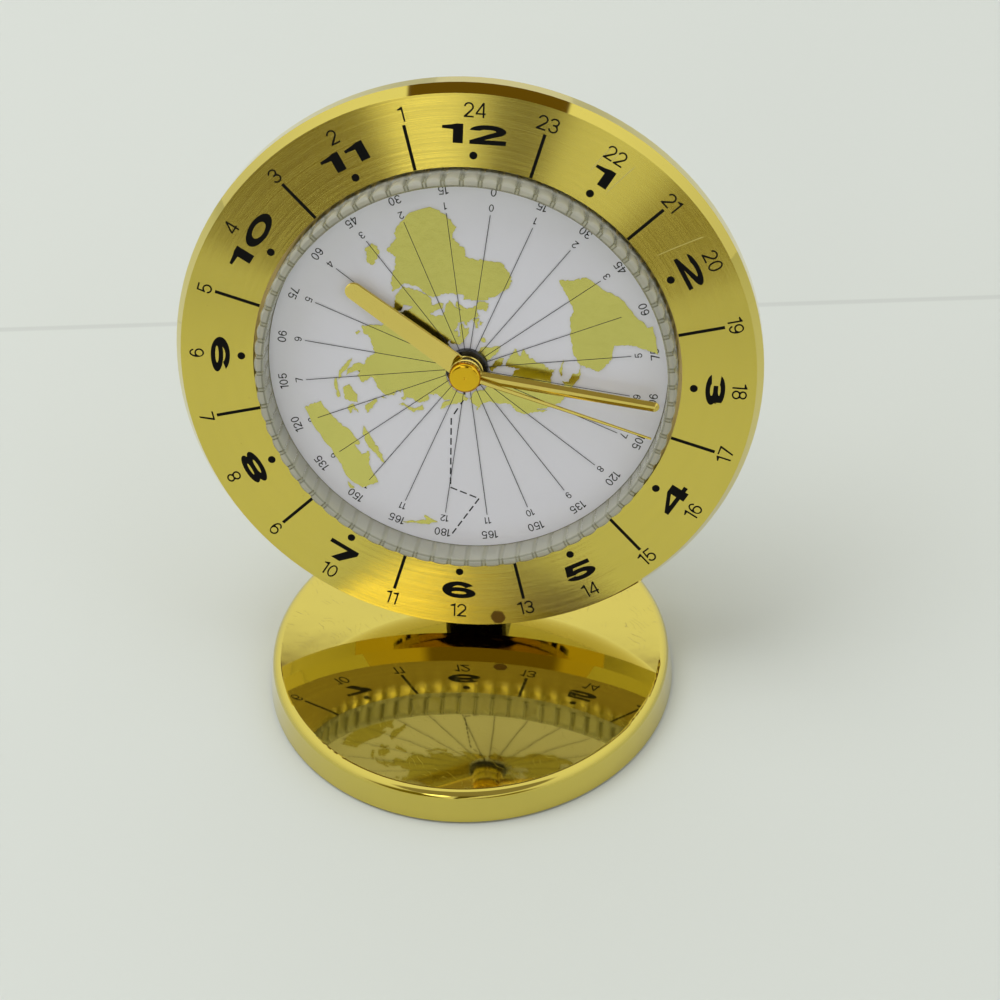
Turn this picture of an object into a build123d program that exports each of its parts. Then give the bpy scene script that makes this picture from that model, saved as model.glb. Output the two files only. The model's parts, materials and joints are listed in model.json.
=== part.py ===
from build123d import *

import math
import os

os.makedirs("parts", exist_ok=True)

# World time clock: a ring-shaped head with a turning map dish, leaning back on a post over a round base.
# Millimetres, +Z up, the clock faces -Y, origin at the centre of the base's foot face.

# Base
base_radius = 32.7
base_top_radius = 32.1
base_height = 5.8
base_edge_round = 1.5
base_lift = 0.4
base_hollow_radius = 29.5
base_roof = 2.4
pad_radius = 29.2
pad_thickness = 1.0
ballast_radius = 28.9
ballast_clearance = 0.1

# Neck post
neck_width = 10.0
neck_depth = 9.0
neck_gap = 1.2
neck_corner_round = 0.8
neck_screw_radius = 1.25
neck_screw_head_radius = 2.3
neck_screw_head_height = 1.2
neck_screw_spacing = 5.2
neck_screw_depth = 4.4
neck_boss_rise = 1.9
neck_upper_screw_length = 6.6

# Head: how far behind the base's centre its face stands, its height over the base, and its lean
face_y = 12.6
ring_over_base = 2.04
lean_degrees = 16.0

# Bezel ring
ring_radius = 45.35
bevel_width = 1.05
ring_width = 12.35
ring_thickness = 4.6
bevel_depth = 2.0

# Rear housing, a cup behind the ring, with the flange that is screwed to it
flange_inset = 2.95
flange_thickness = 1.2
flange_width = 4.5
cup_straight = 2.4
cup_shoulder_rise = 7.8
cup_shoulder_depth = 8.3
cup_rear_step = 11.1
cup_depth = 14.7
cup_wall = 1.0
cup_lip = 1.9
flange_screw_radius = 1.0
flange_screw_head_radius = 1.65
flange_screw_head_height = 1.1
flange_screw_inset = 2.2
flange_screw_depth = 2.6
flange_screw_count = 4
flange_screw_start = 45

# Carrier plate, clamped between the ring and a ledge of the housing
carrier_clearance = 0.7
carrier_thickness = 1.0
ledge_width = 1.2

# Map dish, map and hub
dish_gap = 0.6
dish_wall = 1.5
dish_rim_height = 3.2
scallop_count = 72
scallop_radius = 1.15
scallop_depth = 0.62
scallop_start = 0.3
dish_chamfer = 0.25
map_recess = 1.6
map_thickness = 0.4
map_clearance = 0.1
dish_floor = 2.1
washer_radius = 14.0
washer_thickness = 0.4
dish_play = 0.05
bushing_radius = 2.4
hub_nut_radius = 3.3
hub_nut_height = 0.75
nut_play = 0.05
nut_edge = 0.2
clamp_nut_flats = 7.6
clamp_nut_thickness = 0.8
clamp_nut_room = 0.25

# Hands, with heights above the map
running_clearance = 0.05
arbor_radius = 0.3
second_arbor_radius = 0.45
cannon_radius = 1.0
hour_tube_radius = 1.5
hour_hand_height = 1.35
hour_hand_thickness = 0.35
hour_hand_length = 22.6
hour_hand_root_width = 3.5
hour_hand_tip_width = 2.8
hour_collar_radius = 2.65
collar_under = 0.45
minute_hand_height = 2.35
minute_hand_thickness = 0.45
minute_hand_length = 30.0
minute_hand_root_width = 1.9
minute_hand_tip_width = 1.6
minute_collar_radius = 2.5
second_hand_height = 3.15
second_hand_thickness = 0.25
second_hand_length = 30.1
second_hand_root_width = 0.9
second_hand_tip_width = 0.45
cap_radius = 2.45
cap_top_height = 4.1
cap_edge = 0.35

# Directions of the hands and of the map at rest, clockwise from the top of the ring
hour_hand_angle = 306.9
minute_hand_angle = 98.6
second_hand_angle = 108.2
map_angle = 8.5

# Movement case
case_margin = 0.2
case_wall = 0.9
case_depth = 12.1
front_plate_thickness = 0.8
rear_plate_thickness = 0.8
post_radius = 1.8
post_inset = 4.5
post_angles = (34, 146, 196, 344)
middle_plate_depth = 5.2
middle_plate_thickness = 0.6
middle_plate_play = 0.3
middle_plate_bottom = 8.2

# Battery bay and button cell
battery_radius = 5.8
battery_thickness = 5.4
battery_rim = 0.5
battery_drop = 14.5
battery_gap = 0.15
bay_play = 0.45
bay_wall = 0.6
contact_thickness = 0.3
contact_width = 4.0

# Back cover and battery door
cover_thickness = 1.1
cover_play = 0.15
cover_screw_radius = 0.8
cover_screw_head_radius = 1.5
cover_screw_head_height = 0.5
cover_screw_inset = 2.5
cover_screw_angles = (90, 215, 325)
cover_screw_depth = 2.0
pad_radius_rear = 2.2
door_radius = 7.4
door_play = 0.15
coin_slot_width = 1.4
coin_slot_length = 9.0
coin_slot_depth = 0.5

# Setting knob
knob_radius = 4.2
knob_height = 2.0
knob_gap = 0.3
knob_flutes = 18
knob_flute_radius = 0.35
setting_shaft_radius = 0.7

# Wheels: teeth, and the module of each meshing pair that is chosen; the other follows from the distance
rotor_teeth = 6
fifth_teeth = 60
fifth_pinion_teeth = 10
second_teeth = 30
second_pinion_teeth = 8
third_teeth = 64
third_pinion_teeth = 8
centre_teeth = 60
cannon_teeth = 12
minute_teeth = 36
minute_pinion_teeth = 10
hour_teeth = 40
setting_teeth = 12
rotor_tooth_size = 0.2
fifth_tooth_size = 0.3
second_tooth_size = 0.24
motion_tooth_size = 0.3
tooth_tip_share = 0.8
tooth_root_share = 1.15
tip_width_share = 0.1
root_width_share = 0.26
wheel_thickness = 0.4
pinion_margin = 0.1
third_direction = 55.0
fifth_direction = 160.0
rotor_direction = 80.0
minute_direction = 180.0
setting_direction = 150.0

# Depths of the train's layers behind the face of the movement's front plate
hour_wheel_depth = 1.0
minute_wheel_depth = 1.75
centre_wheel_depth = 2.6
third_wheel_depth = 3.6
second_wheel_depth = 4.5
fifth_wheel_depth = 6.1
magnet_depth = 7.8
magnet_radius = 2.5
magnet_thickness = 1.6
pivot_depth = 0.4

# Motor and circuit
stator_depth = 8.2
stator_thickness = 0.8
stator_gap = 0.35
stator_left = 11.0
stator_right = 11.5
stator_low = 4.6
stator_high = 17.2
stator_leg = 3.0
stator_yoke = 8.0
coil_radius = 2.2
coil_length = 13.0
coil_core_height = 15.4
coil_flange_radius = 2.5
coil_flange_thickness = 0.6
core_width = 1.6
board_depth = 9.9
board_thickness = 0.8
board_left = 2.5
board_right = 18.5
board_low = -5.6
board_high = 3.4
crystal_radius = 1.0
crystal_length = 6.2
crystal_inset = 2.0
movement_screw_radius = 0.6
movement_screw_head_radius = 1.2
movement_screw_head_height = 0.35

# One overrun for every cut
over = 1.0

# Radii that follow from the ring inwards
ring_face_radius = ring_radius - bevel_width
ring_bore_radius = ring_radius - ring_width
flange_radius = ring_radius - flange_inset
flange_screw_circle = flange_radius - flange_screw_inset
cup_radius = flange_radius - flange_width
cup_rear_radius = cup_radius - cup_rear_step
cup_shoulder_radius = cup_rear_radius + cup_shoulder_rise
cup_opening_radius = cup_rear_radius - cup_lip
inner_radius = cup_radius - cup_wall
carrier_radius = inner_radius - carrier_clearance
dish_crest_radius = ring_bore_radius - dish_gap
dish_inner_radius = dish_crest_radius - dish_wall
case_radius = cup_rear_radius + case_margin
post_circle = case_radius - post_inset
middle_plate_radius = case_radius - case_wall - middle_plate_play
cover_screw_circle = cup_opening_radius - cover_screw_inset

# Planes: the face of the ring, and the plane through its axis in which turned profiles are drawn
lean = math.radians(lean_degrees)
face_z = base_height + ring_over_base + ring_radius * math.cos(lean) + ring_thickness * math.sin(lean)
outward = Vector(0, -math.cos(lean), math.sin(lean))
upward = Vector(0, math.sin(lean), math.cos(lean))
face = Plane(origin=(0, face_y, face_z), x_dir=(1, 0, 0), z_dir=outward)
profile_plane = Plane(origin=face.origin, x_dir=(1, 0, 0), z_dir=upward * -1)
head_axis = Axis(face.origin, outward)

# Depths along that axis, negative behind the face
ring_rear = -ring_thickness
map_top = -map_recess
map_back = map_top - map_thickness
dish_back = map_back - dish_floor
washer_front = dish_back - dish_play
carrier_back = ring_rear - carrier_thickness
movement_front_face = carrier_back
plate_back = movement_front_face - front_plate_thickness
case_back = movement_front_face - case_depth
rear_plate_front = case_back + rear_plate_thickness
middle_front = movement_front_face - middle_plate_depth
middle_back = middle_front - middle_plate_thickness
housing_back = ring_rear - cup_depth
cover_front = housing_back + cover_thickness
nut_back = map_top + nut_play
nut_front = nut_back + hub_nut_height


def turned_direction(angle):
    """Unit vector (right, up) on the face, at an angle clockwise from the top."""
    return math.sin(math.radians(angle)), math.cos(math.radians(angle))


def polar_place(radius, angle):
    """Place (right, up) on the face, at an angle counterclockwise from the right."""
    return radius * math.cos(math.radians(angle)), radius * math.sin(math.radians(angle))


def shift(place, radius, angle):
    """A place moved by a distance in a direction."""
    step = polar_place(radius, angle)
    return place[0] + step[0], place[1] + step[1]


def disc(height, radius, thickness, place=(0, 0), mode=Mode.ADD):
    """Round solid from a height along the head's axis, towards the viewer."""
    with BuildSketch(face.offset(height)) as outline:
        with Locations(place):
            Circle(radius)
    extrude(to_extrude=outline.sketch, amount=thickness, mode=mode)


def block(height, thickness, left, right, low, high, mode=Mode.ADD):
    """Rectangular solid between two places on the face, from a height towards the viewer."""
    with BuildSketch(face.offset(height)) as outline:
        with Locations(((left + right) / 2, (low + high) / 2)):
            Rectangle(right - left, high - low)
    extrude(to_extrude=outline.sketch, amount=thickness, mode=mode)


def tooth_points(teeth, module, phase):
    """Outline of a toothed wheel with narrow teeth; phase is the angle of one tooth in radians."""
    pitch = 2 * math.pi / teeth
    tip = module * (teeth / 2 + tooth_tip_share)
    root = module * (teeth / 2 - tooth_root_share)
    shape = ((root, -root_width_share), (tip, -tip_width_share), (tip,
        tip_width_share), (root, root_width_share))
    return [
        (radius * math.cos(phase + (k + share) * pitch), radius * math.sin(phase + (k + share) * pitch))
        for k in range(teeth)
        for radius, share in shape
    ]


def toothed(height, thickness, place, teeth, module, phase):
    """Toothed wheel from a height towards the viewer."""
    points = [(place[0] + x, place[1] + y) for x, y in tooth_points(teeth, module, phase)]
    with BuildSketch(face.offset(height)) as outline:
        with BuildLine():
            Polyline(*points, close=True)
        make_face()
    extrude(to_extrude=outline.sketch, amount=thickness)


def meshing_phase(direction, teeth, phase, other_teeth):
    """Phase of a wheel so that its gap meets a tooth of the first one along the line of centres."""
    line = math.radians(direction)
    return line + math.pi + (math.pi + teeth * (line - phase)) / other_teeth


def finish(piece, name):
    """Labels a finished piece and writes it."""
    piece.part.label = name
    export_step(piece.part, f"parts/{name}.step")


# Centre distances and places of the arbors on the face
third_tooth_size = second_tooth_size * (second_pinion_teeth + third_teeth) / (third_pinion_teeth + centre_teeth)
hour_tooth_size = motion_tooth_size * (cannon_teeth + minute_teeth) / (minute_pinion_teeth + hour_teeth)
third_distance = second_tooth_size * (second_pinion_teeth + third_teeth) / 2
fifth_distance = fifth_tooth_size * (fifth_pinion_teeth + second_teeth) / 2
rotor_distance = rotor_tooth_size * (rotor_teeth + fifth_teeth) / 2
minute_distance = motion_tooth_size * (cannon_teeth + minute_teeth) / 2
setting_distance = motion_tooth_size * (minute_teeth + setting_teeth) / 2
centre_place = (0, 0)
third_place = polar_place(third_distance, third_direction)
fifth_place = polar_place(fifth_distance, fifth_direction)
rotor_place = shift(fifth_place, rotor_distance, rotor_direction)
minute_place = polar_place(minute_distance, minute_direction)
setting_place = shift(minute_place, setting_distance, setting_direction)

# Heights of the wheels' rear faces
hour_wheel_height = movement_front_face - hour_wheel_depth - wheel_thickness
minute_wheel_height = movement_front_face - minute_wheel_depth - wheel_thickness
centre_wheel_height = movement_front_face - centre_wheel_depth - wheel_thickness
third_wheel_height = movement_front_face - third_wheel_depth - wheel_thickness
second_wheel_height = movement_front_face - second_wheel_depth - wheel_thickness
fifth_wheel_height = movement_front_face - fifth_wheel_depth - wheel_thickness
pinion_thickness = wheel_thickness + 2 * pinion_margin
cannon_bottom = centre_wheel_height - pinion_margin

# Heights of the hands
hour_hand_back = map_top + hour_hand_height
minute_hand_back = map_top + minute_hand_height
second_hand_back = map_top + second_hand_height
cap_front = map_top + cap_top_height
hour_tube_front = hour_hand_back + hour_hand_thickness
cannon_front = minute_hand_back + minute_hand_thickness
second_arbor_front = second_hand_back + second_hand_thickness

# Bores of the coaxial tubes
bushing_bore_radius = hour_tube_radius + running_clearance
hour_bore_radius = cannon_radius + running_clearance
cannon_bore_radius = second_arbor_radius + running_clearance
dish_bore_radius = bushing_radius + running_clearance

# Battery bay
battery_place = (0, -battery_drop)
battery_back = cover_front + battery_gap
battery_front = battery_back + battery_thickness
bay_radius = battery_radius + bay_play
bay_floor_back = battery_front + contact_thickness
bay_floor_front = bay_floor_back + bay_wall

# The neck stands behind the flange's lowest point
flange_low_y = face_y - flange_radius * math.sin(lean) + (ring_thickness + flange_thickness) * math.cos(lean)
neck_front = flange_low_y + neck_gap
neck_centre_y = neck_front + neck_depth / 2
screw_places = [(-neck_screw_spacing / 2, neck_centre_y), (neck_screw_spacing / 2, neck_centre_y)]
boss_top = face_z - (cup_radius - neck_boss_rise) * math.cos(lean)

# Base disc: turned, rounded at its top edge, hollow below
with BuildPart() as base_disc:
    with BuildSketch(Plane.XZ) as base_profile:
        with BuildLine():
            Line((0, base_height), (base_top_radius - base_edge_round, base_height))
            RadiusArc(
                (base_top_radius - base_edge_round, base_height),
                (base_top_radius, base_height - base_edge_round),
                base_edge_round,
            )
            Polyline(
                (base_top_radius, base_height - base_edge_round),
                (base_radius, base_lift),
                (base_hollow_radius, base_lift),
                (base_hollow_radius, base_height - base_roof),
                (0, base_height - base_roof),
                (0, base_height),
            )
        make_face()
    revolve(axis=Axis.Z)
    with Locations(*[(x, y, base_height) for x, y in screw_places]):
        Hole(neck_screw_radius)
finish(base_disc, "base_disc")

# Ballast in the hollow, with room for the heads of the base screws
with BuildPart() as ballast_disc:
    with BuildSketch(Plane.XY.offset(pad_thickness)):
        Circle(ballast_radius)
        with Locations(*screw_places):
            Circle(neck_screw_head_radius + ballast_clearance, mode=Mode.SUBTRACT)
    extrude(amount=base_height - base_roof - pad_thickness)
finish(ballast_disc, "ballast_disc")

# Foot pad: its underside is the foot face
with BuildPart() as foot_pad:
    with BuildSketch(Plane.XY):
        Circle(pad_radius)
    extrude(amount=pad_thickness)
finish(foot_pad, "foot_pad")

# Bezel ring: brushed face, bevel, side wall, bore for the dish, blind holes behind
with BuildPart() as bezel_ring:
    with BuildSketch(profile_plane):
        with BuildLine():
            Polyline(
                (ring_bore_radius, 0),
                (ring_face_radius, 0),
                (ring_radius, -bevel_depth),
                (ring_radius, ring_rear),
                (ring_bore_radius, ring_rear),
                close=True,
            )
        make_face()
    revolve(axis=head_axis)
    with BuildSketch(face.offset(ring_rear)) as flange_holes:
        with PolarLocations(flange_screw_circle, flange_screw_count, start_angle=flange_screw_start):
            Circle(flange_screw_radius)
    extrude(to_extrude=flange_holes.sketch, amount=flange_screw_depth, mode=Mode.SUBTRACT)
finish(bezel_ring, "bezel_ring")

# Outer envelope of the housing, which shapes the boss inside it and the top of the neck
cup_start = ring_rear - flange_thickness
straight_end = cup_start - cup_straight
shoulder_height = ring_rear - cup_shoulder_depth
ledge_front = carrier_back
with BuildPart() as envelope:
    with BuildSketch(profile_plane):
        with BuildLine():
            Polyline(
                (0, ring_rear),
                (flange_radius, ring_rear),
                (flange_radius, cup_start),
                (cup_radius, cup_start),
                (cup_radius, straight_end),
            )
            ThreePointArc(
                (cup_radius, straight_end),
                (cup_shoulder_radius, shoulder_height),
                (cup_rear_radius, housing_back),
            )
            Polyline((cup_rear_radius, housing_back), (0, housing_back), (0, ring_rear))
        make_face()
    revolve(axis=head_axis)

# Boss on the housing's inner wall, flat on top for the heads of the neck screws
with BuildPart() as neck_boss:
    with BuildSketch(Plane.XY.offset(base_height)):
        with Locations((0, neck_centre_y)):
            RectangleRounded(
                neck_width - 2 * neck_corner_round,
                neck_depth - 2 * neck_corner_round, neck_corner_round,
            )
    extrude(amount=boss_top - base_height)
    add(envelope.part, mode=Mode.INTERSECT)

# Rear housing: flange, short straight wall, arched shoulder and rear lip, as one even shell
with BuildPart() as rear_housing:
    with BuildSketch(profile_plane):
        with BuildLine():
            Polyline(
                (carrier_radius, ring_rear),
                (flange_radius, ring_rear),
                (flange_radius, cup_start),
                (cup_radius, cup_start),
                (cup_radius, straight_end),
            )
            ThreePointArc(
                (cup_radius, straight_end),
                (cup_shoulder_radius, shoulder_height),
                (cup_rear_radius, housing_back),
            )
            Polyline(
                (cup_rear_radius, housing_back),
                (cup_opening_radius, housing_back),
                (cup_opening_radius, cover_front),
                (cup_rear_radius - cup_wall, cover_front),
            )
            ThreePointArc(
                (cup_rear_radius - cup_wall, cover_front),
                (cup_shoulder_radius - cup_wall, shoulder_height),
                (carrier_radius - ledge_width, straight_end),
            )
            Polyline(
                (carrier_radius - ledge_width, straight_end),
                (carrier_radius - ledge_width, ledge_front),
                (carrier_radius, ledge_front),
                (carrier_radius, ring_rear),
            )
        make_face()
    revolve(axis=head_axis)
    with BuildSketch(face.offset(ring_rear)) as flange_clearance:
        with PolarLocations(flange_screw_circle, flange_screw_count, start_angle=flange_screw_start):
            Circle(flange_screw_radius)
    extrude(to_extrude=flange_clearance.sketch, amount=-flange_thickness - over, mode=Mode.SUBTRACT)
    add(neck_boss.part)
    with BuildSketch(Plane.XY.offset(base_height)) as neck_holes:
        with Locations(*screw_places):
            Circle(neck_screw_radius)
    extrude(to_extrude=neck_holes.sketch, amount=face_z / 2, mode=Mode.SUBTRACT)
finish(rear_housing, "rear_housing")

# Screws through the flange, with slots in their heads
with BuildPart() as flange_screws:
    with BuildSketch(face.offset(cup_start)) as shanks:
        with PolarLocations(flange_screw_circle, flange_screw_count, start_angle=flange_screw_start):
            Circle(flange_screw_radius)
    extrude(to_extrude=shanks.sketch, amount=flange_thickness + flange_screw_depth)
    with BuildSketch(face.offset(cup_start)) as heads:
        with PolarLocations(flange_screw_circle, flange_screw_count, start_angle=flange_screw_start):
            Circle(flange_screw_head_radius)
    extrude(to_extrude=heads.sketch, amount=-flange_screw_head_height)
    with BuildSketch(face.offset(cup_start - flange_screw_head_height)) as slots:
        with PolarLocations(flange_screw_circle, flange_screw_count, start_angle=flange_screw_start):
            Rectangle(2 * flange_screw_head_radius + over, flange_screw_radius / 2)
    extrude(to_extrude=slots.sketch, amount=flange_screw_head_height / 2, mode=Mode.SUBTRACT)
finish(flange_screws, "flange_screws")

# Neck post: its top takes the shape of the housing that it carries
with BuildPart() as neck_post:
    with BuildSketch(Plane.XY.offset(base_height)):
        with Locations((0, neck_centre_y)):
            RectangleRounded(neck_width, neck_depth, neck_corner_round)
    extrude(amount=boss_top - base_height)
    add(envelope.part, mode=Mode.SUBTRACT)
    with BuildSketch(Plane.XY.offset(base_height)) as lower_holes:
        with Locations(*screw_places):
            Circle(neck_screw_radius)
    extrude(to_extrude=lower_holes.sketch, amount=boss_top - base_height, mode=Mode.SUBTRACT)
finish(neck_post, "neck_post")

# Screws from inside the housing, down into the post
with BuildPart() as neck_screws:
    with BuildSketch(Plane.XY.offset(boss_top)) as upper_shanks:
        with Locations(*screw_places):
            Circle(neck_screw_radius)
    extrude(to_extrude=upper_shanks.sketch, amount=-neck_upper_screw_length)
    with BuildSketch(Plane.XY.offset(boss_top)) as upper_heads:
        with Locations(*screw_places):
            Circle(neck_screw_head_radius)
    extrude(to_extrude=upper_heads.sketch, amount=neck_screw_head_height)
finish(neck_screws, "neck_screws")

# Screws from below, through the base into the post
with BuildPart() as base_screws:
    with BuildSketch(Plane.XY.offset(base_height - base_roof)) as lower_shanks:
        with Locations(*screw_places):
            Circle(neck_screw_radius)
    extrude(to_extrude=lower_shanks.sketch, amount=base_roof + neck_screw_depth)
    with BuildSketch(Plane.XY.offset(base_height - base_roof)) as lower_heads:
        with Locations(*screw_places):
            Circle(neck_screw_head_radius)
    extrude(to_extrude=lower_heads.sketch, amount=-neck_screw_head_height)
finish(base_screws, "base_screws")

# Carrier plate between the ring and the housing's ledge
with BuildPart() as carrier_plate:
    disc(carrier_back, carrier_radius, carrier_thickness)
    disc(carrier_back - over, bushing_radius, carrier_thickness + 2 * over, mode=Mode.SUBTRACT)
finish(carrier_plate, "carrier_plate")

# Hexagonal nut that clamps the movement's bushing to the carrier
clamp_room_radius = clamp_nut_flats / math.sqrt(3) + clamp_nut_room
with BuildPart() as clamp_nut:
    with BuildSketch(face.offset(ring_rear)):
        RegularPolygon(clamp_nut_flats / 2, 6, major_radius=False)
        Circle(bushing_radius, mode=Mode.SUBTRACT)
    extrude(amount=clamp_nut_thickness)
finish(clamp_nut, "clamp_nut")

# Felt washer under the dish
with BuildPart() as friction_washer:
    disc(ring_rear, washer_radius, washer_thickness)
    disc(ring_rear - over, clamp_room_radius, washer_thickness + 2 * over, mode=Mode.SUBTRACT)
finish(friction_washer, "friction_washer")

# Map dish: clear cup with a scalloped rim, which turns on the bushing
with BuildPart() as map_dish:
    disc(dish_back, dish_crest_radius, dish_rim_height - dish_back)
    chamfer(map_dish.edges().filter_by(GeomType.CIRCLE).group_by(head_axis)[-1], dish_chamfer)
    disc(map_back, dish_inner_radius, dish_rim_height - map_back + over, mode=Mode.SUBTRACT)
    with BuildSketch(face.offset(scallop_start)) as scallops:
        with PolarLocations(dish_crest_radius + scallop_radius - scallop_depth, scallop_count):
            Circle(scallop_radius)
    extrude(to_extrude=scallops.sketch, amount=dish_rim_height, mode=Mode.SUBTRACT)
    disc(dish_back - over, dish_bore_radius, dish_rim_height, mode=Mode.SUBTRACT)
    disc(dish_back - over, clamp_room_radius, over + clamp_nut_thickness, mode=Mode.SUBTRACT)
finish(map_dish, "map_dish")

# Map disc on the dish's floor, with a hole for the hub nut's collar
with BuildPart() as map_disc:
    disc(map_back, dish_inner_radius - map_clearance, map_thickness)
    disc(map_back - over, dish_bore_radius, map_thickness + 2 * over, mode=Mode.SUBTRACT)
finish(map_disc, "map_disc")

# Hub nut: round black nut on the bushing, in front of the map
with BuildPart() as hub_nut:
    disc(nut_back, hub_nut_radius, hub_nut_height)
    chamfer(hub_nut.edges().group_by(head_axis)[-1], nut_edge)
    disc(nut_back - over, bushing_radius, hub_nut_height + 2 * over, mode=Mode.SUBTRACT)
finish(hub_nut, "hub_nut")


def hand_blade(angle, height, thickness, length, root_width, tip_width):
    """Tapered hand with a round tip, its front edges broken."""
    right, up = turned_direction(angle)
    reach = length - tip_width / 2
    with BuildSketch(face.offset(height)) as outline:
        Circle(root_width / 2)
        with Locations((reach * right, reach * up)):
            Circle(tip_width / 2)
        make_hull()
    extrude(to_extrude=outline.sketch, amount=thickness)


# Hour hand on its tube
with BuildPart() as hour_hand:
    hand_blade(
        hour_hand_angle, hour_hand_back, hour_hand_thickness, hour_hand_length,
        hour_hand_root_width, hour_hand_tip_width,
    )
    chamfer(hour_hand.edges().group_by(head_axis)[-1], hour_hand_thickness / 3)
    disc(hour_hand_back - collar_under, hour_collar_radius, collar_under + hour_hand_thickness)
    disc(hour_hand_back - over, hour_tube_radius, over + hour_hand_thickness + over, mode=Mode.SUBTRACT)
finish(hour_hand, "hour_hand")

# Minute hand on the cannon pinion
with BuildPart() as minute_hand:
    hand_blade(
        minute_hand_angle, minute_hand_back, minute_hand_thickness, minute_hand_length,
        minute_hand_root_width, minute_hand_tip_width,
    )
    chamfer(minute_hand.edges().group_by(head_axis)[-1], minute_hand_thickness / 3)
    disc(minute_hand_back - collar_under, minute_collar_radius, collar_under + minute_hand_thickness)
    disc(minute_hand_back - over, cannon_radius, over + minute_hand_thickness + over, mode=Mode.SUBTRACT)
finish(minute_hand, "minute_hand")

# Second hand, a thin strip on the second arbor
with BuildPart() as second_hand:
    hand_blade(
        second_hand_angle, second_hand_back, second_hand_thickness, second_hand_length,
        second_hand_root_width, second_hand_tip_width,
    )
    disc(second_hand_back, cap_radius - cap_edge, second_hand_thickness)
    disc(second_hand_back - over, second_arbor_radius, second_hand_thickness + 2 * over, mode=Mode.SUBTRACT)
finish(second_hand, "second_hand")

# Cap over the second hand's root
with BuildPart() as hand_cap:
    disc(second_arbor_front, cap_radius, cap_front - second_arbor_front)
    chamfer(hand_cap.edges().group_by(head_axis)[-1], cap_edge)
finish(hand_cap, "hand_cap")

# Front plate of the movement, with its bushing, posts and the stud of the minute wheel
with BuildPart() as movement_front:
    disc(plate_back, case_radius, front_plate_thickness)
    disc(movement_front_face, bushing_radius, nut_front - movement_front_face)
    for angle in post_angles:
        disc(middle_front, post_radius, plate_back - middle_front, polar_place(post_circle, angle))
    disc(minute_wheel_height, setting_shaft_radius, plate_back - minute_wheel_height, minute_place)
    disc(plate_back - over, bushing_bore_radius, nut_front - plate_back + 2 * over, mode=Mode.SUBTRACT)
    disc(
        plate_back - over, arbor_radius + running_clearance,
        over + pivot_depth, third_place, mode=Mode.SUBTRACT,
    )
    for angle in post_angles:
        screw_place = polar_place(post_circle, angle)
        disc(
            middle_front - over, movement_screw_radius,
            over + plate_back - middle_front, screw_place, mode=Mode.SUBTRACT,
        )
finish(movement_front, "movement_front")

# Middle plate, which carries the inner ends of the arbors
with BuildPart() as middle_plate:
    disc(middle_back, middle_plate_radius, middle_plate_thickness)
    block(
        middle_back - over, middle_plate_thickness + 2 * over, -middle_plate_radius, middle_plate_radius,
        -middle_plate_radius - over, -middle_plate_bottom, mode=Mode.SUBTRACT,
    )
    through = middle_plate_thickness + 2 * over
    disc(middle_back - over, second_arbor_radius + running_clearance, through, mode=Mode.SUBTRACT)
    disc(
        middle_back - over, setting_shaft_radius + running_clearance,
        through, setting_place, mode=Mode.SUBTRACT,
    )
    for place in (third_place, fifth_place):
        disc(middle_back - over, arbor_radius + running_clearance, through, place, mode=Mode.SUBTRACT)
    disc(
        middle_back - over, arbor_radius + running_clearance,
        over + pivot_depth, rotor_place, mode=Mode.SUBTRACT,
    )
    for angle in post_angles:
        disc(
            middle_back - over, movement_screw_radius, through,
            polar_place(post_circle, angle), mode=Mode.SUBTRACT,
        )
finish(middle_plate, "middle_plate")

# Rear case of the movement, with its pillars, the round battery bay and pads for the back cover
with BuildPart() as movement_rear:
    disc(case_back, case_radius, case_depth - front_plate_thickness)
    disc(rear_plate_front, case_radius - case_wall, case_depth, mode=Mode.SUBTRACT)
    for angle in post_angles:
        disc(rear_plate_front, post_radius, middle_back - rear_plate_front, polar_place(post_circle, angle))
    for angle in cover_screw_angles:
        disc(cover_front, pad_radius_rear, case_back - cover_front, polar_place(cover_screw_circle, angle))
    disc(rear_plate_front, bay_radius + bay_wall, bay_floor_front - rear_plate_front, battery_place)
    disc(case_back - over, bay_radius, bay_floor_back - case_back + over, battery_place, mode=Mode.SUBTRACT)
    for place in (fifth_place, rotor_place):
        disc(
            rear_plate_front - pivot_depth, arbor_radius + running_clearance,
            over, place, mode=Mode.SUBTRACT,
        )
    disc(
        case_back - over, setting_shaft_radius + running_clearance,
        case_wall + 2 * over, setting_place, mode=Mode.SUBTRACT,
    )
    for angle in post_angles:
        disc(
            case_back - over, movement_screw_radius, case_depth,
            polar_place(post_circle, angle), mode=Mode.SUBTRACT,
        )
    for angle in cover_screw_angles:
        screw_place = polar_place(cover_screw_circle, angle)
        disc(
            cover_front - over, cover_screw_radius,
            over + cover_screw_depth, screw_place, mode=Mode.SUBTRACT,
        )
finish(movement_rear, "movement_rear")

# Screws that hold the movement's case together
with BuildPart() as movement_screws:
    for angle in post_angles:
        screw_place = polar_place(post_circle, angle)
        disc(case_back, movement_screw_radius, plate_back - case_back, screw_place)
        disc(
            case_back - movement_screw_head_height, movement_screw_head_radius,
            movement_screw_head_height, screw_place,
        )
finish(movement_screws, "movement_screws")

# Hour wheel and its tube, which carries the hour hand
hour_phase = 0
with BuildPart() as hour_wheel:
    toothed(hour_wheel_height, wheel_thickness, centre_place, hour_teeth, hour_tooth_size, hour_phase)
    disc(hour_wheel_height, hour_tube_radius, hour_tube_front - hour_wheel_height)
    disc(
        hour_wheel_height - over, hour_bore_radius,
        hour_tube_front - hour_wheel_height + 2 * over, mode=Mode.SUBTRACT,
    )
finish(hour_wheel, "hour_wheel")

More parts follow.
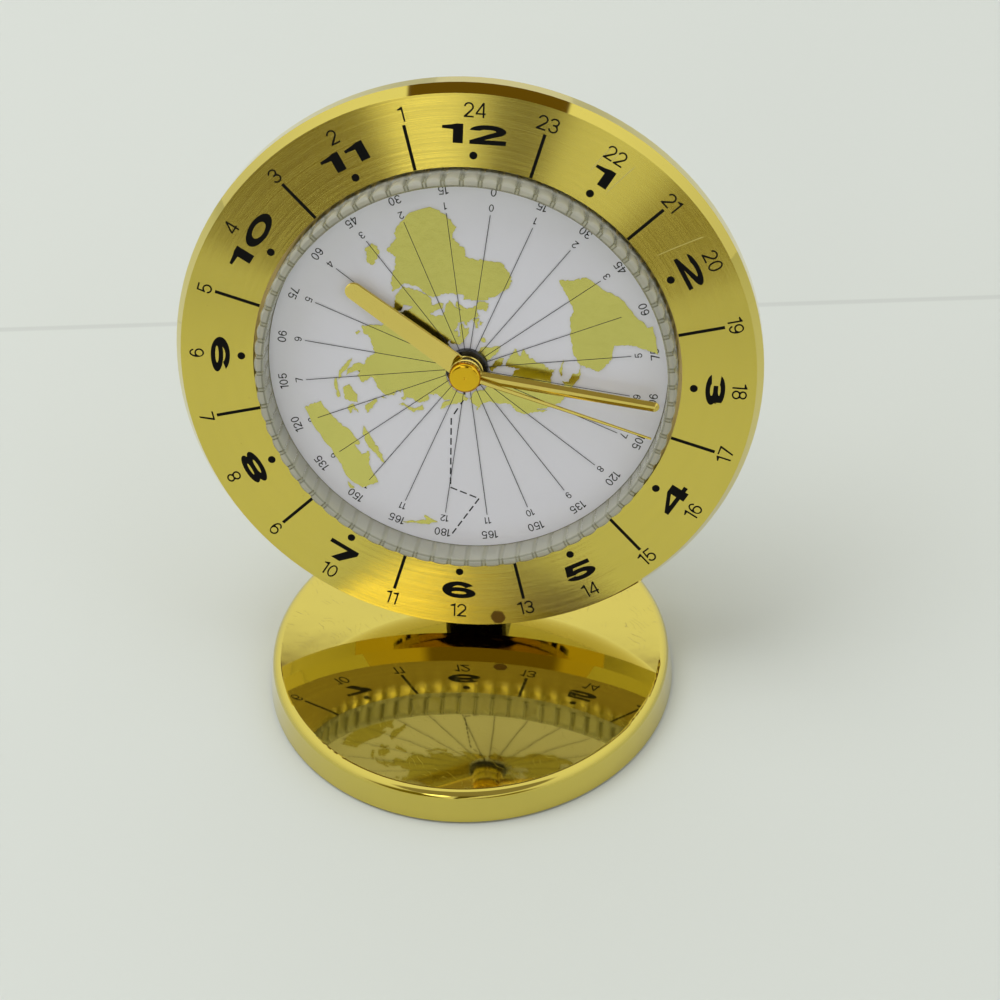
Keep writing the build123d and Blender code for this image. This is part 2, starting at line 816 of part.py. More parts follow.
# Minute wheel and its pinion, on the front plate's stud
minute_pinion_phase = meshing_phase(minute_direction, hour_teeth, hour_phase, minute_pinion_teeth)
cannon_phase = 0
minute_phase = meshing_phase(minute_direction, cannon_teeth, cannon_phase, minute_teeth)
minute_pinion_height = hour_wheel_height - pinion_margin
with BuildPart() as minute_wheel:
    toothed(minute_wheel_height, wheel_thickness, minute_place, minute_teeth, motion_tooth_size, minute_phase)
    toothed(
        minute_wheel_height, minute_pinion_height + pinion_thickness - minute_wheel_height,
        minute_place, minute_pinion_teeth, hour_tooth_size, minute_pinion_phase,
    )
    disc(
        minute_wheel_height - over, setting_shaft_radius + running_clearance,
        plate_back - minute_wheel_height + over, minute_place, mode=Mode.SUBTRACT,
    )
finish(minute_wheel, "minute_wheel")

# Cannon pinion: carries the minute hand, and the centre wheel slips on its lower end
cannon_teeth_height = minute_wheel_height - pinion_margin
with BuildPart() as cannon_pinion:
    disc(cannon_bottom, cannon_radius, cannon_front - cannon_bottom)
    toothed(cannon_teeth_height, pinion_thickness, centre_place, cannon_teeth, motion_tooth_size, cannon_phase)
    disc(
        cannon_bottom - over, cannon_bore_radius,
        cannon_front - cannon_bottom + 2 * over, mode=Mode.SUBTRACT,
    )
finish(cannon_pinion, "cannon_pinion")

# Setting shaft with its pinion, out through the back cover to the knob
setting_phase = meshing_phase(setting_direction, minute_teeth, minute_phase, setting_teeth)
knob_back = housing_back - knob_gap - knob_height
with BuildPart() as setting_shaft:
    toothed(
        cannon_teeth_height, pinion_thickness, setting_place,
        setting_teeth, motion_tooth_size, setting_phase,
    )
    disc(knob_back, setting_shaft_radius, cannon_teeth_height - knob_back, setting_place)
finish(setting_shaft, "setting_shaft")

with BuildPart() as set_knob:
    disc(knob_back, knob_radius, knob_height, setting_place)
    chamfer(set_knob.edges().group_by(head_axis)[0], knob_flute_radius)
    with BuildSketch(face.offset(knob_back)) as flutes:
        with Locations(setting_place):
            with PolarLocations(knob_radius, knob_flutes):
                Circle(knob_flute_radius)
    extrude(to_extrude=flutes.sketch, amount=knob_height, mode=Mode.SUBTRACT)
    disc(knob_back - over, setting_shaft_radius, knob_height + 2 * over, setting_place, mode=Mode.SUBTRACT)
finish(set_knob, "set_knob")

# Second wheel with its long arbor and pinion
second_pinion_phase = 0
second_phase = 0
second_tail = middle_back + pinion_margin
with BuildPart() as second_wheel:
    disc(second_tail, second_arbor_radius, second_arbor_front - second_tail)
    toothed(second_wheel_height, wheel_thickness, centre_place, second_teeth, fifth_tooth_size, second_phase)
    toothed(
        third_wheel_height - pinion_margin, pinion_thickness, centre_place,
        second_pinion_teeth, second_tooth_size, second_pinion_phase,
    )
finish(second_wheel, "second_wheel")

# Third wheel, driven by the second pinion; its own pinion drives the centre wheel
third_phase = meshing_phase(third_direction, second_pinion_teeth, second_pinion_phase, third_teeth)
third_pinion_phase = 0
with BuildPart() as third_wheel:
    disc(
        middle_back + pinion_margin, arbor_radius,
        plate_back + pivot_depth - middle_back - 2 * pinion_margin, third_place,
    )
    toothed(third_wheel_height, wheel_thickness, third_place, third_teeth, second_tooth_size, third_phase)
    toothed(
        centre_wheel_height - pinion_margin, pinion_thickness, third_place,
        third_pinion_teeth, third_tooth_size, third_pinion_phase,
    )
finish(third_wheel, "third_wheel")

# Centre wheel, slipping on the cannon pinion
centre_phase = meshing_phase(third_direction + 180, third_pinion_teeth, third_pinion_phase, centre_teeth)
with BuildPart() as centre_wheel:
    toothed(centre_wheel_height, wheel_thickness, centre_place, centre_teeth, third_tooth_size, centre_phase)
    disc(
        centre_wheel_height - over, cannon_radius + running_clearance,
        wheel_thickness + 2 * over, mode=Mode.SUBTRACT,
    )
finish(centre_wheel, "centre_wheel")

# Fifth wheel, between the rotor and the second wheel
fifth_pinion_phase = meshing_phase(fifth_direction, second_teeth, second_phase, fifth_pinion_teeth)
fifth_phase = 0
fifth_pinion_height = second_wheel_height - pinion_margin
fifth_tail = rear_plate_front - pivot_depth + pinion_margin
with BuildPart() as fifth_wheel:
    disc(fifth_tail, arbor_radius, fifth_pinion_height - fifth_tail, fifth_place)
    toothed(fifth_wheel_height, wheel_thickness, fifth_place, fifth_teeth, rotor_tooth_size, fifth_phase)
    toothed(
        fifth_pinion_height, pinion_thickness, fifth_place,
        fifth_pinion_teeth, fifth_tooth_size, fifth_pinion_phase,
    )
finish(fifth_wheel, "fifth_wheel")

# Rotor: magnet, pinion and arbor
rotor_phase = meshing_phase(rotor_direction, fifth_teeth, fifth_phase, rotor_teeth)
rotor_tail = rear_plate_front - pivot_depth + pinion_margin
rotor_front = middle_back + pivot_depth - pinion_margin
with BuildPart() as rotor:
    disc(rotor_tail, arbor_radius, rotor_front - rotor_tail, rotor_place)
    disc(movement_front_face - magnet_depth - magnet_thickness, magnet_radius, magnet_thickness, rotor_place)
    toothed(
        fifth_wheel_height - pinion_margin, pinion_thickness,
        rotor_place, rotor_teeth, rotor_tooth_size, rotor_phase,
    )
finish(rotor, "rotor")

# Stator: a yoke round the rotor with two legs up to the coil's core
stator_back = movement_front_face - stator_depth - stator_thickness
with BuildPart() as stator:
    block(stator_back, stator_thickness, -stator_left, stator_right, stator_low, stator_high)
    block(
        stator_back - over, stator_thickness + 2 * over, -stator_left + stator_leg,
        stator_right - stator_leg,
        stator_low + stator_yoke, stator_high + over, mode=Mode.SUBTRACT,
    )
    disc(
        stator_back - over, magnet_radius + stator_gap,
        stator_thickness + 2 * over, rotor_place, mode=Mode.SUBTRACT,
    )
finish(stator, "stator")

# Coil on its core, between the legs
coil_plane = Plane(
    origin=face.from_local_coords((0, coil_core_height, stator_back + stator_thickness / 2)),
    x_dir=upward,
    z_dir=(1, 0, 0),
)
coil_middle = (stator_right - stator_left) / 2
with BuildPart() as coil:
    with BuildSketch(coil_plane.offset(coil_middle - coil_length / 2)) as winding:
        Circle(coil_radius)
    extrude(to_extrude=winding.sketch, amount=coil_length)
    for start in (coil_middle - coil_length / 2, coil_middle + coil_length / 2 - coil_flange_thickness):
        with BuildSketch(coil_plane.offset(start)) as flange:
            Circle(coil_flange_radius)
        extrude(to_extrude=flange.sketch, amount=coil_flange_thickness)
    block(
        stator_back, stator_thickness, -stator_left + stator_leg, stator_right - stator_leg,
        coil_core_height - core_width / 2, coil_core_height + core_width / 2,
    )
finish(coil, "coil")

# Circuit board and the quartz crystal on it
board_back = movement_front_face - board_depth - board_thickness
with BuildPart() as circuit_board:
    block(board_back, board_thickness, board_left, board_right, board_low, board_high)
finish(circuit_board, "circuit_board")

crystal_place = (
    board_left + crystal_inset,
    board_low + crystal_inset,
    board_back + board_thickness + crystal_radius,
)
crystal_plane = Plane(
    origin=face.from_local_coords(crystal_place),
    x_dir=upward,
    z_dir=(1, 0, 0),
)
with BuildPart() as quartz_crystal:
    with BuildSketch(crystal_plane):
        Circle(crystal_radius)
    extrude(amount=crystal_length)
finish(quartz_crystal, "quartz_crystal")

# Button cell with its stepped rim, and its two contacts
with BuildPart() as battery:
    disc(battery_back, battery_radius, battery_thickness - battery_rim, battery_place)
    disc(battery_front - battery_rim, battery_radius - battery_rim, battery_rim, battery_place)
finish(battery, "battery")

with BuildPart() as contact_minus:
    block(
        battery_front, contact_thickness, battery_place[0] - contact_width / 2,
        battery_place[0] + contact_width / 2,
        battery_place[1] - contact_width, battery_place[1] + contact_width,
    )
finish(contact_minus, "contact_minus")

with BuildPart() as contact_plus:
    block(
        battery_back, battery_thickness - battery_rim, battery_place[0] + battery_radius,
        battery_place[0] + battery_radius + contact_thickness, battery_place[1] - contact_width / 4,
        battery_place[1] + contact_width / 4,
    )
finish(contact_plus, "contact_plus")

# Back cover, flush in the housing's rear opening
with BuildPart() as back_cover:
    disc(housing_back, cup_opening_radius - cover_play, cover_thickness)
    disc(
        housing_back - over, door_radius + door_play,
        cover_thickness + 2 * over, battery_place, mode=Mode.SUBTRACT,
    )
    disc(
        housing_back - over, setting_shaft_radius + running_clearance, cover_thickness + 2 * over,
        setting_place, mode=Mode.SUBTRACT,
    )
    for angle in cover_screw_angles:
        screw_place = polar_place(cover_screw_circle, angle)
        disc(
            housing_back - over, cover_screw_radius,
            cover_thickness + 2 * over, screw_place, mode=Mode.SUBTRACT,
        )
        disc(
            housing_back - over, cover_screw_head_radius,
            over + cover_screw_head_height, screw_place, mode=Mode.SUBTRACT,
        )
finish(back_cover, "back_cover")

with BuildPart() as cover_screws:
    for angle in cover_screw_angles:
        screw_place = polar_place(cover_screw_circle, angle)
        disc(housing_back, cover_screw_head_radius, cover_screw_head_height, screw_place)
        disc(housing_back, cover_screw_radius, cover_thickness + cover_screw_depth, screw_place)
finish(cover_screws, "cover_screws")

# Battery door: a round plate with a coin slot, lifted out to the rear
with BuildPart() as battery_door:
    disc(housing_back, door_radius, cover_thickness, battery_place)
    block(
        housing_back - over, over + coin_slot_depth, battery_place[0] - coin_slot_length / 2,
        battery_place[0] + coin_slot_length / 2, battery_place[1] - coin_slot_width / 2,
        battery_place[1] + coin_slot_width / 2, mode=Mode.SUBTRACT,
    )
finish(battery_door, "battery_door")
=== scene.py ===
"""Looks of a world time clock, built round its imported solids."""

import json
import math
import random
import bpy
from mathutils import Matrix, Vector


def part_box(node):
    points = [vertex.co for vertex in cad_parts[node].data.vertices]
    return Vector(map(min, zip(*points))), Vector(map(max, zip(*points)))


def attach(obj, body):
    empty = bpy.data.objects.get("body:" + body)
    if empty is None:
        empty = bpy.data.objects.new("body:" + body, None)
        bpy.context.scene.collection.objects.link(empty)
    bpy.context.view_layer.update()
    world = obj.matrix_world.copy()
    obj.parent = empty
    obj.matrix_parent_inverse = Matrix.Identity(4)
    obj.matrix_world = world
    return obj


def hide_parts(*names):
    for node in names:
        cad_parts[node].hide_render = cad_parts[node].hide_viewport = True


bl_info = {
    "name": "World time clock",
    "version": (1, 0, 0),
    "blender": (4, 5, 0),
    "location": "View3D > Sidebar > Clock",
    "description": "Prints, map, hands, finishes and stage of a world time clock",
    "category": "Object",
}

from collections import namedtuple

import bmesh
import bpy
from mathutils import Matrix, Vector
from mathutils.geometry import tessellate_polygon

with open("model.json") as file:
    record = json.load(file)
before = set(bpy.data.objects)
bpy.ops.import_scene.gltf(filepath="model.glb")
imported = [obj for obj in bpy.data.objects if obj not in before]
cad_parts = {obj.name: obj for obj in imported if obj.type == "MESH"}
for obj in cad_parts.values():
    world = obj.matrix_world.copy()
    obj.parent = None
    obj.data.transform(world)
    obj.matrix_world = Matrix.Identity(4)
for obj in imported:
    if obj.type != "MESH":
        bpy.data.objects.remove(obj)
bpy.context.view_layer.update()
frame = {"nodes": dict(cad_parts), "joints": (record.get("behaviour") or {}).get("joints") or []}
NODES = frame["nodes"]

MM = 0.001

# Plane of the ring's face, from the joint on which the dish turns
DIAL = next(joint for joint in frame["joints"] if joint["name"] == "map_dial_turn")
CENTRE = Vector(DIAL["pos_m"])
OUTWARD = Vector(DIAL["axis"]).normalized()
RIGHT = Vector((1, 0, 0))
UPWARD = OUTWARD.cross(RIGHT)
FACE = Matrix.Translation(CENTRE) @ Matrix((RIGHT, UPWARD, OUTWARD)).transposed().to_4x4()


def heights(node):
    """Heights of a node's points over the ring's face, in millimetres."""
    return [(v.co - CENTRE).dot(OUTWARD) / MM for v in NODES[node].data.vertices]


def front_of(node):
    return max(heights(node))


def back_of(node):
    return min(heights(node))


# Sizes and colours that a user would change

def colour(name, description, default):
    return bpy.props.FloatVectorProperty(
        name=name, description=description, subtype="COLOR", size=3, min=0, max=1, default=default)


def number(name, description, default, **limits):
    return bpy.props.FloatProperty(name=name, description=description, default=default, **limits)


def millimetres(name, description, default, **limits):
    return number(name, description + ", in millimetres", default, **limits)


def degrees(name, description, default):
    return number(name, description + ", in degrees", default)


class RingPrintSettings(bpy.types.PropertyGroup):
    ink: colour("Ink", "Colour of the numerals, ticks and dots", (0.002, 0.002, 0.002))
    turn: degrees("Turn", "Clockwise turn of the whole print on the ring", 2.41)
    thickness: millimetres("Thickness", "Thickness of the ink", 0.02, min=0.005)
    dot_circle: millimetres("Dot circle", "Radius of the circle of hour dots", 34.83)
    dot_radius: millimetres("Dot radius", "Radius of one hour dot", 0.6)
    tick_inner: millimetres("Tick start", "Radius of the ticks' inner ends", 33.05)
    tick_outer: millimetres("Tick end", "Radius of the ticks' outer ends", 40.15)
    tick_width: millimetres("Tick width", "Width of a tick", 0.5)
    hours_radius: millimetres("Hour circle", "Radius of the twelve-hour numerals' centres", 38.1)
    hours_height: millimetres("Hour height", "Height of the twelve-hour numerals", 3.0)
    day_radius: millimetres("Day circle", "Radius of the 24-hour numbers' centres", 41.8)
    day_height: millimetres("Day height", "Height of the 24-hour numbers", 2.3)


class MapSettings(bpy.types.PropertyGroup):
    paper: colour("Paper", "Colour of the map's ground", (0.765, 0.765, 0.86))
    foil: colour("Foil", "Colour of the land", (0.67, 0.63, 0.17))
    line: colour("Lines", "Colour of the meridians and small numbers", (0.03, 0.03, 0.04))
    turn: degrees("Turn", "Clockwise turn of the zero meridian from the top", 8.5)
    per_degree: millimetres("Scale", "Distance from the pole for one degree of latitude", 0.213)
    rim: millimetres("Rim", "Radius at which the land ends", 30.6)
    line_start: millimetres("Line start", "Radius of the meridians' inner ends", 3.2)
    line_end: millimetres("Line end", "Radius of the meridians' outer ends", 25.3)
    line_width: millimetres("Line width", "Width of a meridian line", 0.1)
    ink_thickness: millimetres("Ink thickness", "Thickness of lines and numbers", 0.015)
    foil_thickness: millimetres("Foil thickness", "Thickness of the land's foil", 0.13)
    number_height: millimetres("Number height", "Height of the longitude numbers", 1.35)
    degrees_circle: millimetres("Longitude circle", "Radius of the longitude numbers' centres", 28.9)
    hours_circle: millimetres("Hours circle", "Radius of the centres of the numbers of hours", 26.4)


class DishSettings(bpy.types.PropertyGroup):
    wall: millimetres("Wall", "Thickness of the dish's wall", 1.5)
    beads: bpy.props.IntProperty(name="Beads", description="Beads round the dish's rim", default=72, min=3)
    bead_depth: millimetres("Bead depth", "Depth of the grooves between beads", 0.62)
    bore: millimetres("Bore", "Radius of the hole in the dish's floor", 2.45)
    room: millimetres("Nut room", "Radius of the room for the nut behind", 4.64)
    room_depth: millimetres("Room depth", "Depth of the room for the nut behind", 0.8)
    map_thickness: millimetres("Map thickness", "Thickness of the map", 0.4)


class HandSettings(bpy.types.PropertyGroup):
    hour_bearing: degrees("Hour bearing", "Clockwise turn of the hour hand from the top at rest", 306.9)
    hour_length: millimetres("Hour length", "Reach of the hour hand", 22.6)
    minute_bearing: degrees("Minute bearing", "Clockwise turn of the minute hand from the top at rest", 98.6)
    minute_length: millimetres("Minute length", "Reach of the minute hand", 30.0)
    second_bearing: degrees("Second bearing", "Clockwise turn of the second hand from the top at rest", 108.2)
    second_length: millimetres("Second length", "Reach of the second hand", 30.1)


class FinishSettings(bpy.types.PropertyGroup):
    gold: colour("Gold", "Colour of the gold plating", (0.71, 0.58, 0.09))
    hand_gold: colour("Hand gold", "Colour of the hands", (0.80, 0.63, 0.12))
    brushing: number("Brushing", "Spread of the ring's turned grooves", 0.26, min=0, max=1)


class StageSettings(bpy.types.PropertyGroup):
    floor: colour("Floor", "Colour of the floor", (0.655, 0.685, 0.645))
    lens: number("Lens", "Focal length on a sensor of 36 mm", 92.22)


# Wrappers round the sockets and nodes of a material, on which expressions add nodes

def arithmetic(operation):
    return lambda value, other: value.maths(operation, other)


class Value:
    """A number in a material; sums and products of it become Math nodes."""

    def __init__(self, nodes, socket):
        self.nodes = nodes
        self.socket = socket

    def maths(self, operation, *others):
        return self.nodes.add("ShaderNodeMath", {"operation": operation}, (self,) + others)

    __add__ = arithmetic("ADD")
    __sub__ = arithmetic("SUBTRACT")
    __mul__ = arithmetic("MULTIPLY")
    __truediv__ = arithmetic("DIVIDE")
    __pow__ = arithmetic("POWER")
    __lt__ = arithmetic("LESS_THAN")
    __gt__ = arithmetic("GREATER_THAN")

    def __rsub__(self, other):
        return self.nodes.add("ShaderNodeMath", {"operation": "SUBTRACT"}, (other, self))

    def output(self, name):
        return Value(self.nodes, self.socket.node.outputs[name])

    def between(self, low, high):
        """Smooth step from 0 at low to 1 at high."""
        return self.nodes.add(
            "ShaderNodeMapRange", {"interpolation_type": "SMOOTHSTEP"},
            {"Value": self, "From Min": low, "From Max": high})

    def inside(self, start, low, high, end):
        """1 from low to high, falling smoothly to 0 at start and at end."""
        return self.between(start, low) * (1 - self.between(high, end))


class Nodes:
    """The node tree of a material or of the world."""

    def __init__(self, owner):
        owner.use_nodes = True
        self.owner = owner
        self.tree = owner.node_tree
        self.tree.nodes.clear()

    def add(self, kind, settings=None, inputs=None, output=None):
        node = self.tree.nodes.new(kind)
        for key, value in (settings or {}).items():
            setattr(node, key, value)
        pairs = enumerate(inputs) if isinstance(inputs, (tuple, list)) else (inputs or {}).items()
        for key, value in pairs:
            self.feed(node.inputs[key], value)
        return Value(self, node.outputs[output if output is not None else 0]) if node.outputs else node

    def feed(self, socket, value):
        if isinstance(value, Value):
            self.tree.links.new(value.socket, socket)
        elif hasattr(value, "__len__") and len(value) == 3 and socket.type == "RGBA":
            socket.default_value = (*value, 1)
        else:
            socket.default_value = value

    def point(self):
        """Position on the piece, in millimetres."""
        return self.scaled(self.add("ShaderNodeTexCoord", output="Object"), 1 / MM)

    def face_point(self):
        """Position in the plane of the ring's face: right, up and outward, in millimetres."""
        place = self.add("ShaderNodeTexCoord", output="Object")
        back = FACE.inverted()
        return self.add("ShaderNodeMapping", {"vector_type": "POINT"}, {
            "Vector": place,
            "Location": back.translation / MM,
            "Rotation": back.to_euler(),
            "Scale": (1 / MM, 1 / MM, 1 / MM)})

    def parts(self, vector):
        split = self.add("ShaderNodeSeparateXYZ", inputs={0: vector})
        return split.output("X"), split.output("Y"), split.output("Z")

    def noise(self, vector, scale, detail=2.0, roughness=0.5, dimensions="3D"):
        inputs = {"Scale": scale, "Detail": detail, "Roughness": roughness}
        inputs["W" if dimensions == "1D" else "Vector"] = vector
        return self.add("ShaderNodeTexNoise", {"noise_dimensions": dimensions}, inputs)

    def join(self, x, y, z):
        return self.add("ShaderNodeCombineXYZ", inputs=(x, y, z))

    def mix(self, factor, first, second):
        """Colour between two colours."""
        node = self.tree.nodes.new("ShaderNodeMix")
        node.data_type = "RGBA"
        for socket, value in ((node.inputs[0], factor), (node.inputs[6], first), (node.inputs[7], second)):
            self.feed(socket, value)
        return Value(self, node.outputs[2])

    def shades(self, factor, tone, first, second):
        """Colour between two shades of a tone, with no part over 1."""
        return self.mix(factor, *([min(1, c * shade) for c in tone] for shade in (first, second)))

    def bump(self, height, strength, distance):
        return self.add("ShaderNodeBump", inputs={
            "Height": height, "Strength": strength, "Distance": distance})

    def vectors(self, operation, *inputs):
        return self.add("ShaderNodeVectorMath", {"operation": operation}, inputs)

    def scaled(self, vector, factor):
        return self.add("ShaderNodeVectorMath", {"operation": "SCALE"}, {0: vector, "Scale": factor})

    def dot(self, first, second):
        return self.vectors("DOT_PRODUCT", first, second).output("Value")

    def surface(self, **inputs):
        """Material with a principled surface; keyword names take underscores for spaces."""
        inputs = {key.replace("_", " "): value for key, value in inputs.items()}
        shader = self.add("ShaderNodeBsdfPrincipled", inputs=inputs)
        self.add("ShaderNodeOutputMaterial", inputs={"Surface": shader})
        return self.owner


def material(name):
    return Nodes(bpy.data.materials.new(name))


def polar(x, y):
    """Radius and clockwise angle from the top, in radians, of a point on the ring's face."""
    return (x * x + y * y) ** 0.5, x.maths("ARCTAN2", y)


def scratches(nodes, point, scale, width, threshold):
    """Mask of sparse fine scratches on a polished surface."""
    warp = nodes.noise(point, scale * 0.35, 1.0)
    lines = nodes.add("ShaderNodeTexWave", {"wave_type": "BANDS", "bands_direction": "DIAGONAL"}, {
        "Vector": point, "Scale": scale, "Distortion": 14.0, "Detail": 1.0, "Detail Scale": 0.6})
    patches = nodes.noise(point, scale * 0.8, 2.0)
    return (lines > 1 - width) * patches.between(threshold, threshold + 0.1) * (warp + 0.5)


# Finishes

def polished_gold(name, tone, roughness, wear, coat=1.0):
    """Polished plating with dull patches, specks and hair scratches."""
    nodes = material(name)
    point = nodes.point()
    haze = nodes.noise(point, 0.09, 3.0)
    specks = nodes.noise(point, 2.6, 1.0).between(0.78, 0.83)
    hairs = scratches(nodes, point, scale=0.5, width=0.015, threshold=0.52)
    dull = haze.between(0.35, 0.75)
    height = nodes.noise(point, 0.16, 2.0) * 0.35 + hairs * 0.02
    return nodes.surface(
        Base_Color=nodes.shades(dull * 0.25 + specks * 0.35 * wear, tone, 1, 0.86),
        Metallic=1.0, Coat_Weight=coat, Coat_Roughness=0.04,
        Roughness=dull * 0.03 * wear + specks * 0.25 * wear + hairs * 0.12 + roughness,
        Normal=nodes.bump(height, 0.06, 0.0004))


# Scratches on the ring's face: bearing in radians, inner and outer radius in millimetres
RING_SCRATCHES = ((0.52, 37.5, 43.5), (0.63, 36.0, 42.5), (0.98, 34.5, 43.0), (0.555, 40.0, 43.0))
TARNISH_PLACE = (4.63, -42.75)
BEVEL_START = 44.32


def ring_gold(settings):
    """Turned grooves on the ring's face, polish on its bevel and side, and one spot of tarnish."""
    nodes = material("ring_gold")
    place = nodes.face_point()
    x, y, z = nodes.parts(place)
    radius, angle = polar(x, y)
    on_face = (z > -0.012) * (radius < BEVEL_START)
    grooves = nodes.noise(radius, 55.0, 0.0, dimensions="1D")
    strokes = nodes.noise(nodes.join(radius * 9.0, angle * 5.0, 0.0), 1.0, 2.0)
    streaks = nodes.noise(nodes.join(radius * 0.8, angle * 2.2, 3.0), 1.0, 2.0)
    tilt = ((grooves - 0.5) * settings.brushing * 2 + (strokes - 0.5) * 0.12 + 0.10) * on_face
    side = nodes.join(x / radius, y / radius * UPWARD.y, y / radius * UPWARD.z)
    facing = nodes.add("ShaderNodeNewGeometry", output="Normal")
    normal = nodes.vectors("NORMALIZE", nodes.vectors("ADD", facing, nodes.scaled(side, tilt)))
    spot_x, spot_y = x - TARNISH_PLACE[0], y - TARNISH_PLACE[1]
    blotch = nodes.noise(place, 1.3, 2.0) * 0.7
    spot = 1 - ((spot_x * spot_x + spot_y * spot_y) ** 0.5 + blotch).between(1.35, 1.75)
    specks = nodes.noise(place, 1.9, 1.0).between(0.77, 0.82)
    tone = nodes.shades(streaks * 0.35, settings.gold, 1, 0.80)
    tone = nodes.mix(specks * 0.5, tone, (0.30, 0.22, 0.05))
    tone = nodes.mix(spot * 0.95, tone, (0.13, 0.06, 0.008))
    lines = 0.0
    for bearing, low, high in RING_SCRATCHES:
        thin = 1 - (angle - bearing - (radius - 39) * 0.004).maths("ABSOLUTE").between(0.0008, 0.0025)
        lines = thin * radius.inside(low, low + 1, high - 1, high) + lines
    tone = nodes.mix(lines * 0.35, tone, (0.86, 0.80, 0.45))
    return nodes.surface(
        Base_Color=tone, Metallic=1.0 - spot * 0.3, Coat_Weight=0.6 - spot * 0.6, Coat_Roughness=0.08,
        Roughness=on_face * 0.07 + 0.04 + spot * 0.3 + specks * 0.2 + lines * 0.2, Normal=normal)


def plain(name, tone, roughness, metallic=0.0, grain=0.0, scale=4.0):
    """Moulded, painted or plain metal finish with a fine grain and a slow variation of tone."""
    nodes = material(name)
    point = nodes.point()
    slow = nodes.noise(point, 0.12, 3.0)
    fine = nodes.noise(point, scale, 2.0)
    inputs = {"Normal": nodes.bump(fine, grain, 0.0002)} if grain else {}
    return nodes.surface(
        Base_Color=nodes.shades(slow, tone, 0.88, 1.12), Metallic=metallic,
        Roughness=fine * 0.12 + (roughness - 0.06), **inputs)


def clear_plastic(beads, inner, crest):
    """Clear moulding whose wall shows a row of cells, one for each bead, with painted highlights in the
    cells, painted dark lines between them and a painted dark line along the inner lip.
    """
    nodes = material("clear_plastic")
    place = nodes.face_point()
    x, y, z = nodes.parts(place)
    radius, angle = polar(x, y)
    share = (angle * (beads / (2 * math.pi)) + beads).maths("FRACT")
    aside = (share - 0.5).maths("ABSOLUTE")
    middle, half = (inner + crest) / 2, (crest - inner) / 2
    across = ((radius - middle) / half).maths("ABSOLUTE")
    flow = nodes.noise(place, 0.9, 2.0)
    cell = (1 - (aside + flow * 0.06).between(0.37, 0.46)) * (1 - (across + flow * 0.2).between(0.55, 0.85))
    wall = (radius < inner + 0.06) + (radius > crest - 0.35)
    comb = (1 - aside.between(0.30, 0.46)) * wall
    height = cell * (1 - wall) + comb * 0.8
    dust = nodes.noise(place, 3.0, 2.0).between(0.70, 0.80)
    shown = (radius > inner - 0.2) * (z > -1.55)
    # Painted highlight: the middle of each cell is painted lighter than the rest of the wall
    tone = nodes.mix(height * 0.8 * shown, (0.80, 0.80, 0.66), (1.0, 1.0, 0.90))
    # Painted shade: dark lines painted along the edges between the cells
    seam = aside.inside(0.33, 0.39, 0.42, 0.48) * (1 - wall)
    tone = nodes.mix(seam * 0.7 * shown, tone, (0.34, 0.34, 0.20))
    # Painted shade: a dark line painted along the inner lip at the top of the wall
    lip = radius.inside(inner + 0.10, inner + 0.18, inner + 0.30, inner + 0.38)
    tone = nodes.mix(lip * 0.55 * (z > 2.0), tone, (0.40, 0.40, 0.30))
    return nodes.surface(
        Base_Color=tone, Roughness=dust * 0.10 + 0.012, IOR=1.49, Transmission_Weight=0.66,
        Normal=nodes.bump(height * shown + flow * 0.15, 0.55, 0.0004))


def felt():
    nodes = material("felt")
    point = nodes.point()
    fibres = nodes.noise(point, 9.0, 5.0, 0.7)
    return nodes.surface(
        Base_Color=nodes.mix(fibres, (0.01, 0.01, 0.01), (0.05, 0.05, 0.055)), Roughness=0.95,
        Sheen_Weight=0.3, Normal=nodes.bump(fibres, 0.6, 0.0004))


def paper(tone):
    nodes = material("map_paper")
    place = nodes.face_point()
    grain = nodes.noise(place, 6.0, 3.0)
    slow = nodes.noise(place, 0.07, 2.0)
    return nodes.surface(
        Base_Color=nodes.shades(slow * 0.5 + grain * 0.12, tone, 0.94, 1.05),
        Roughness=0.32, Coat_Weight=0.35, Coat_Roughness=0.08, Normal=nodes.bump(grain, 0.05, 0.0002))


def foil(tone):
    nodes = material("land_foil")
    place = nodes.face_point()
    wrinkle = nodes.noise(place, 0.8, 3.0)
    slow = nodes.noise(place, 0.11, 2.0)
    return nodes.surface(
        Base_Color=nodes.shades(slow, tone, 0.92, 1.08), Metallic=1.0,
        Roughness=wrinkle * 0.10 + 0.14, Normal=nodes.bump(wrinkle, 0.05, 0.0005))


def ink(name, tone, roughness):
    nodes = material(name)
    speckle = nodes.noise(nodes.point(), 12.0, 2.0)
    return nodes.surface(
        Base_Color=nodes.mix(speckle, tone, [min(1, c + 0.006) for c in tone]),
        Roughness=speckle * 0.15 + roughness, Specular_IOR_Level=0.06)


def dress(finish, *nodes):
    """Gives nodes of the frame their finish."""
    for node in nodes:
        materials = NODES[node].data.materials
        materials.clear()
        materials.append(finish)


# Meshes

def make_piece(name, mesh, body, finish, smooth=False):
    """Piece at the origin with its place in its mesh, riding on a body."""
    piece = bpy.data.objects.new(name, mesh)
    bpy.context.scene.collection.objects.link(piece)
    if finish is not None:
        mesh.materials.clear()
        mesh.materials.append(finish)
    for polygon in mesh.polygons:
        polygon.use_smooth = smooth
    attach(piece, body)
    return piece


def circle_points(bm, radius, height, steps):
    """Points of a circle round the ring's axis, or one point where its radius is 0."""
    if radius == 0:
        return [bm.verts.new((0, 0, height))]
    angles = [2 * math.pi * k / steps for k in range(steps)]
    return [bm.verts.new((radius * math.cos(t), radius * math.sin(t), height)) for t in angles]


def bridge(bm, rings):
    """Joins each ring of points, or single point, to the next with faces."""
    for first, second in zip(rings, rings[1:]):
        steps = max(len(first), len(second))
        for k in range(steps):
            n = (k + 1) % steps
            a, b = first[k % len(first)], first[n % len(first)]
            c, d = second[n % len(second)], second[k % len(second)]
            bm.faces.new(list(dict.fromkeys((a, b, c, d))))


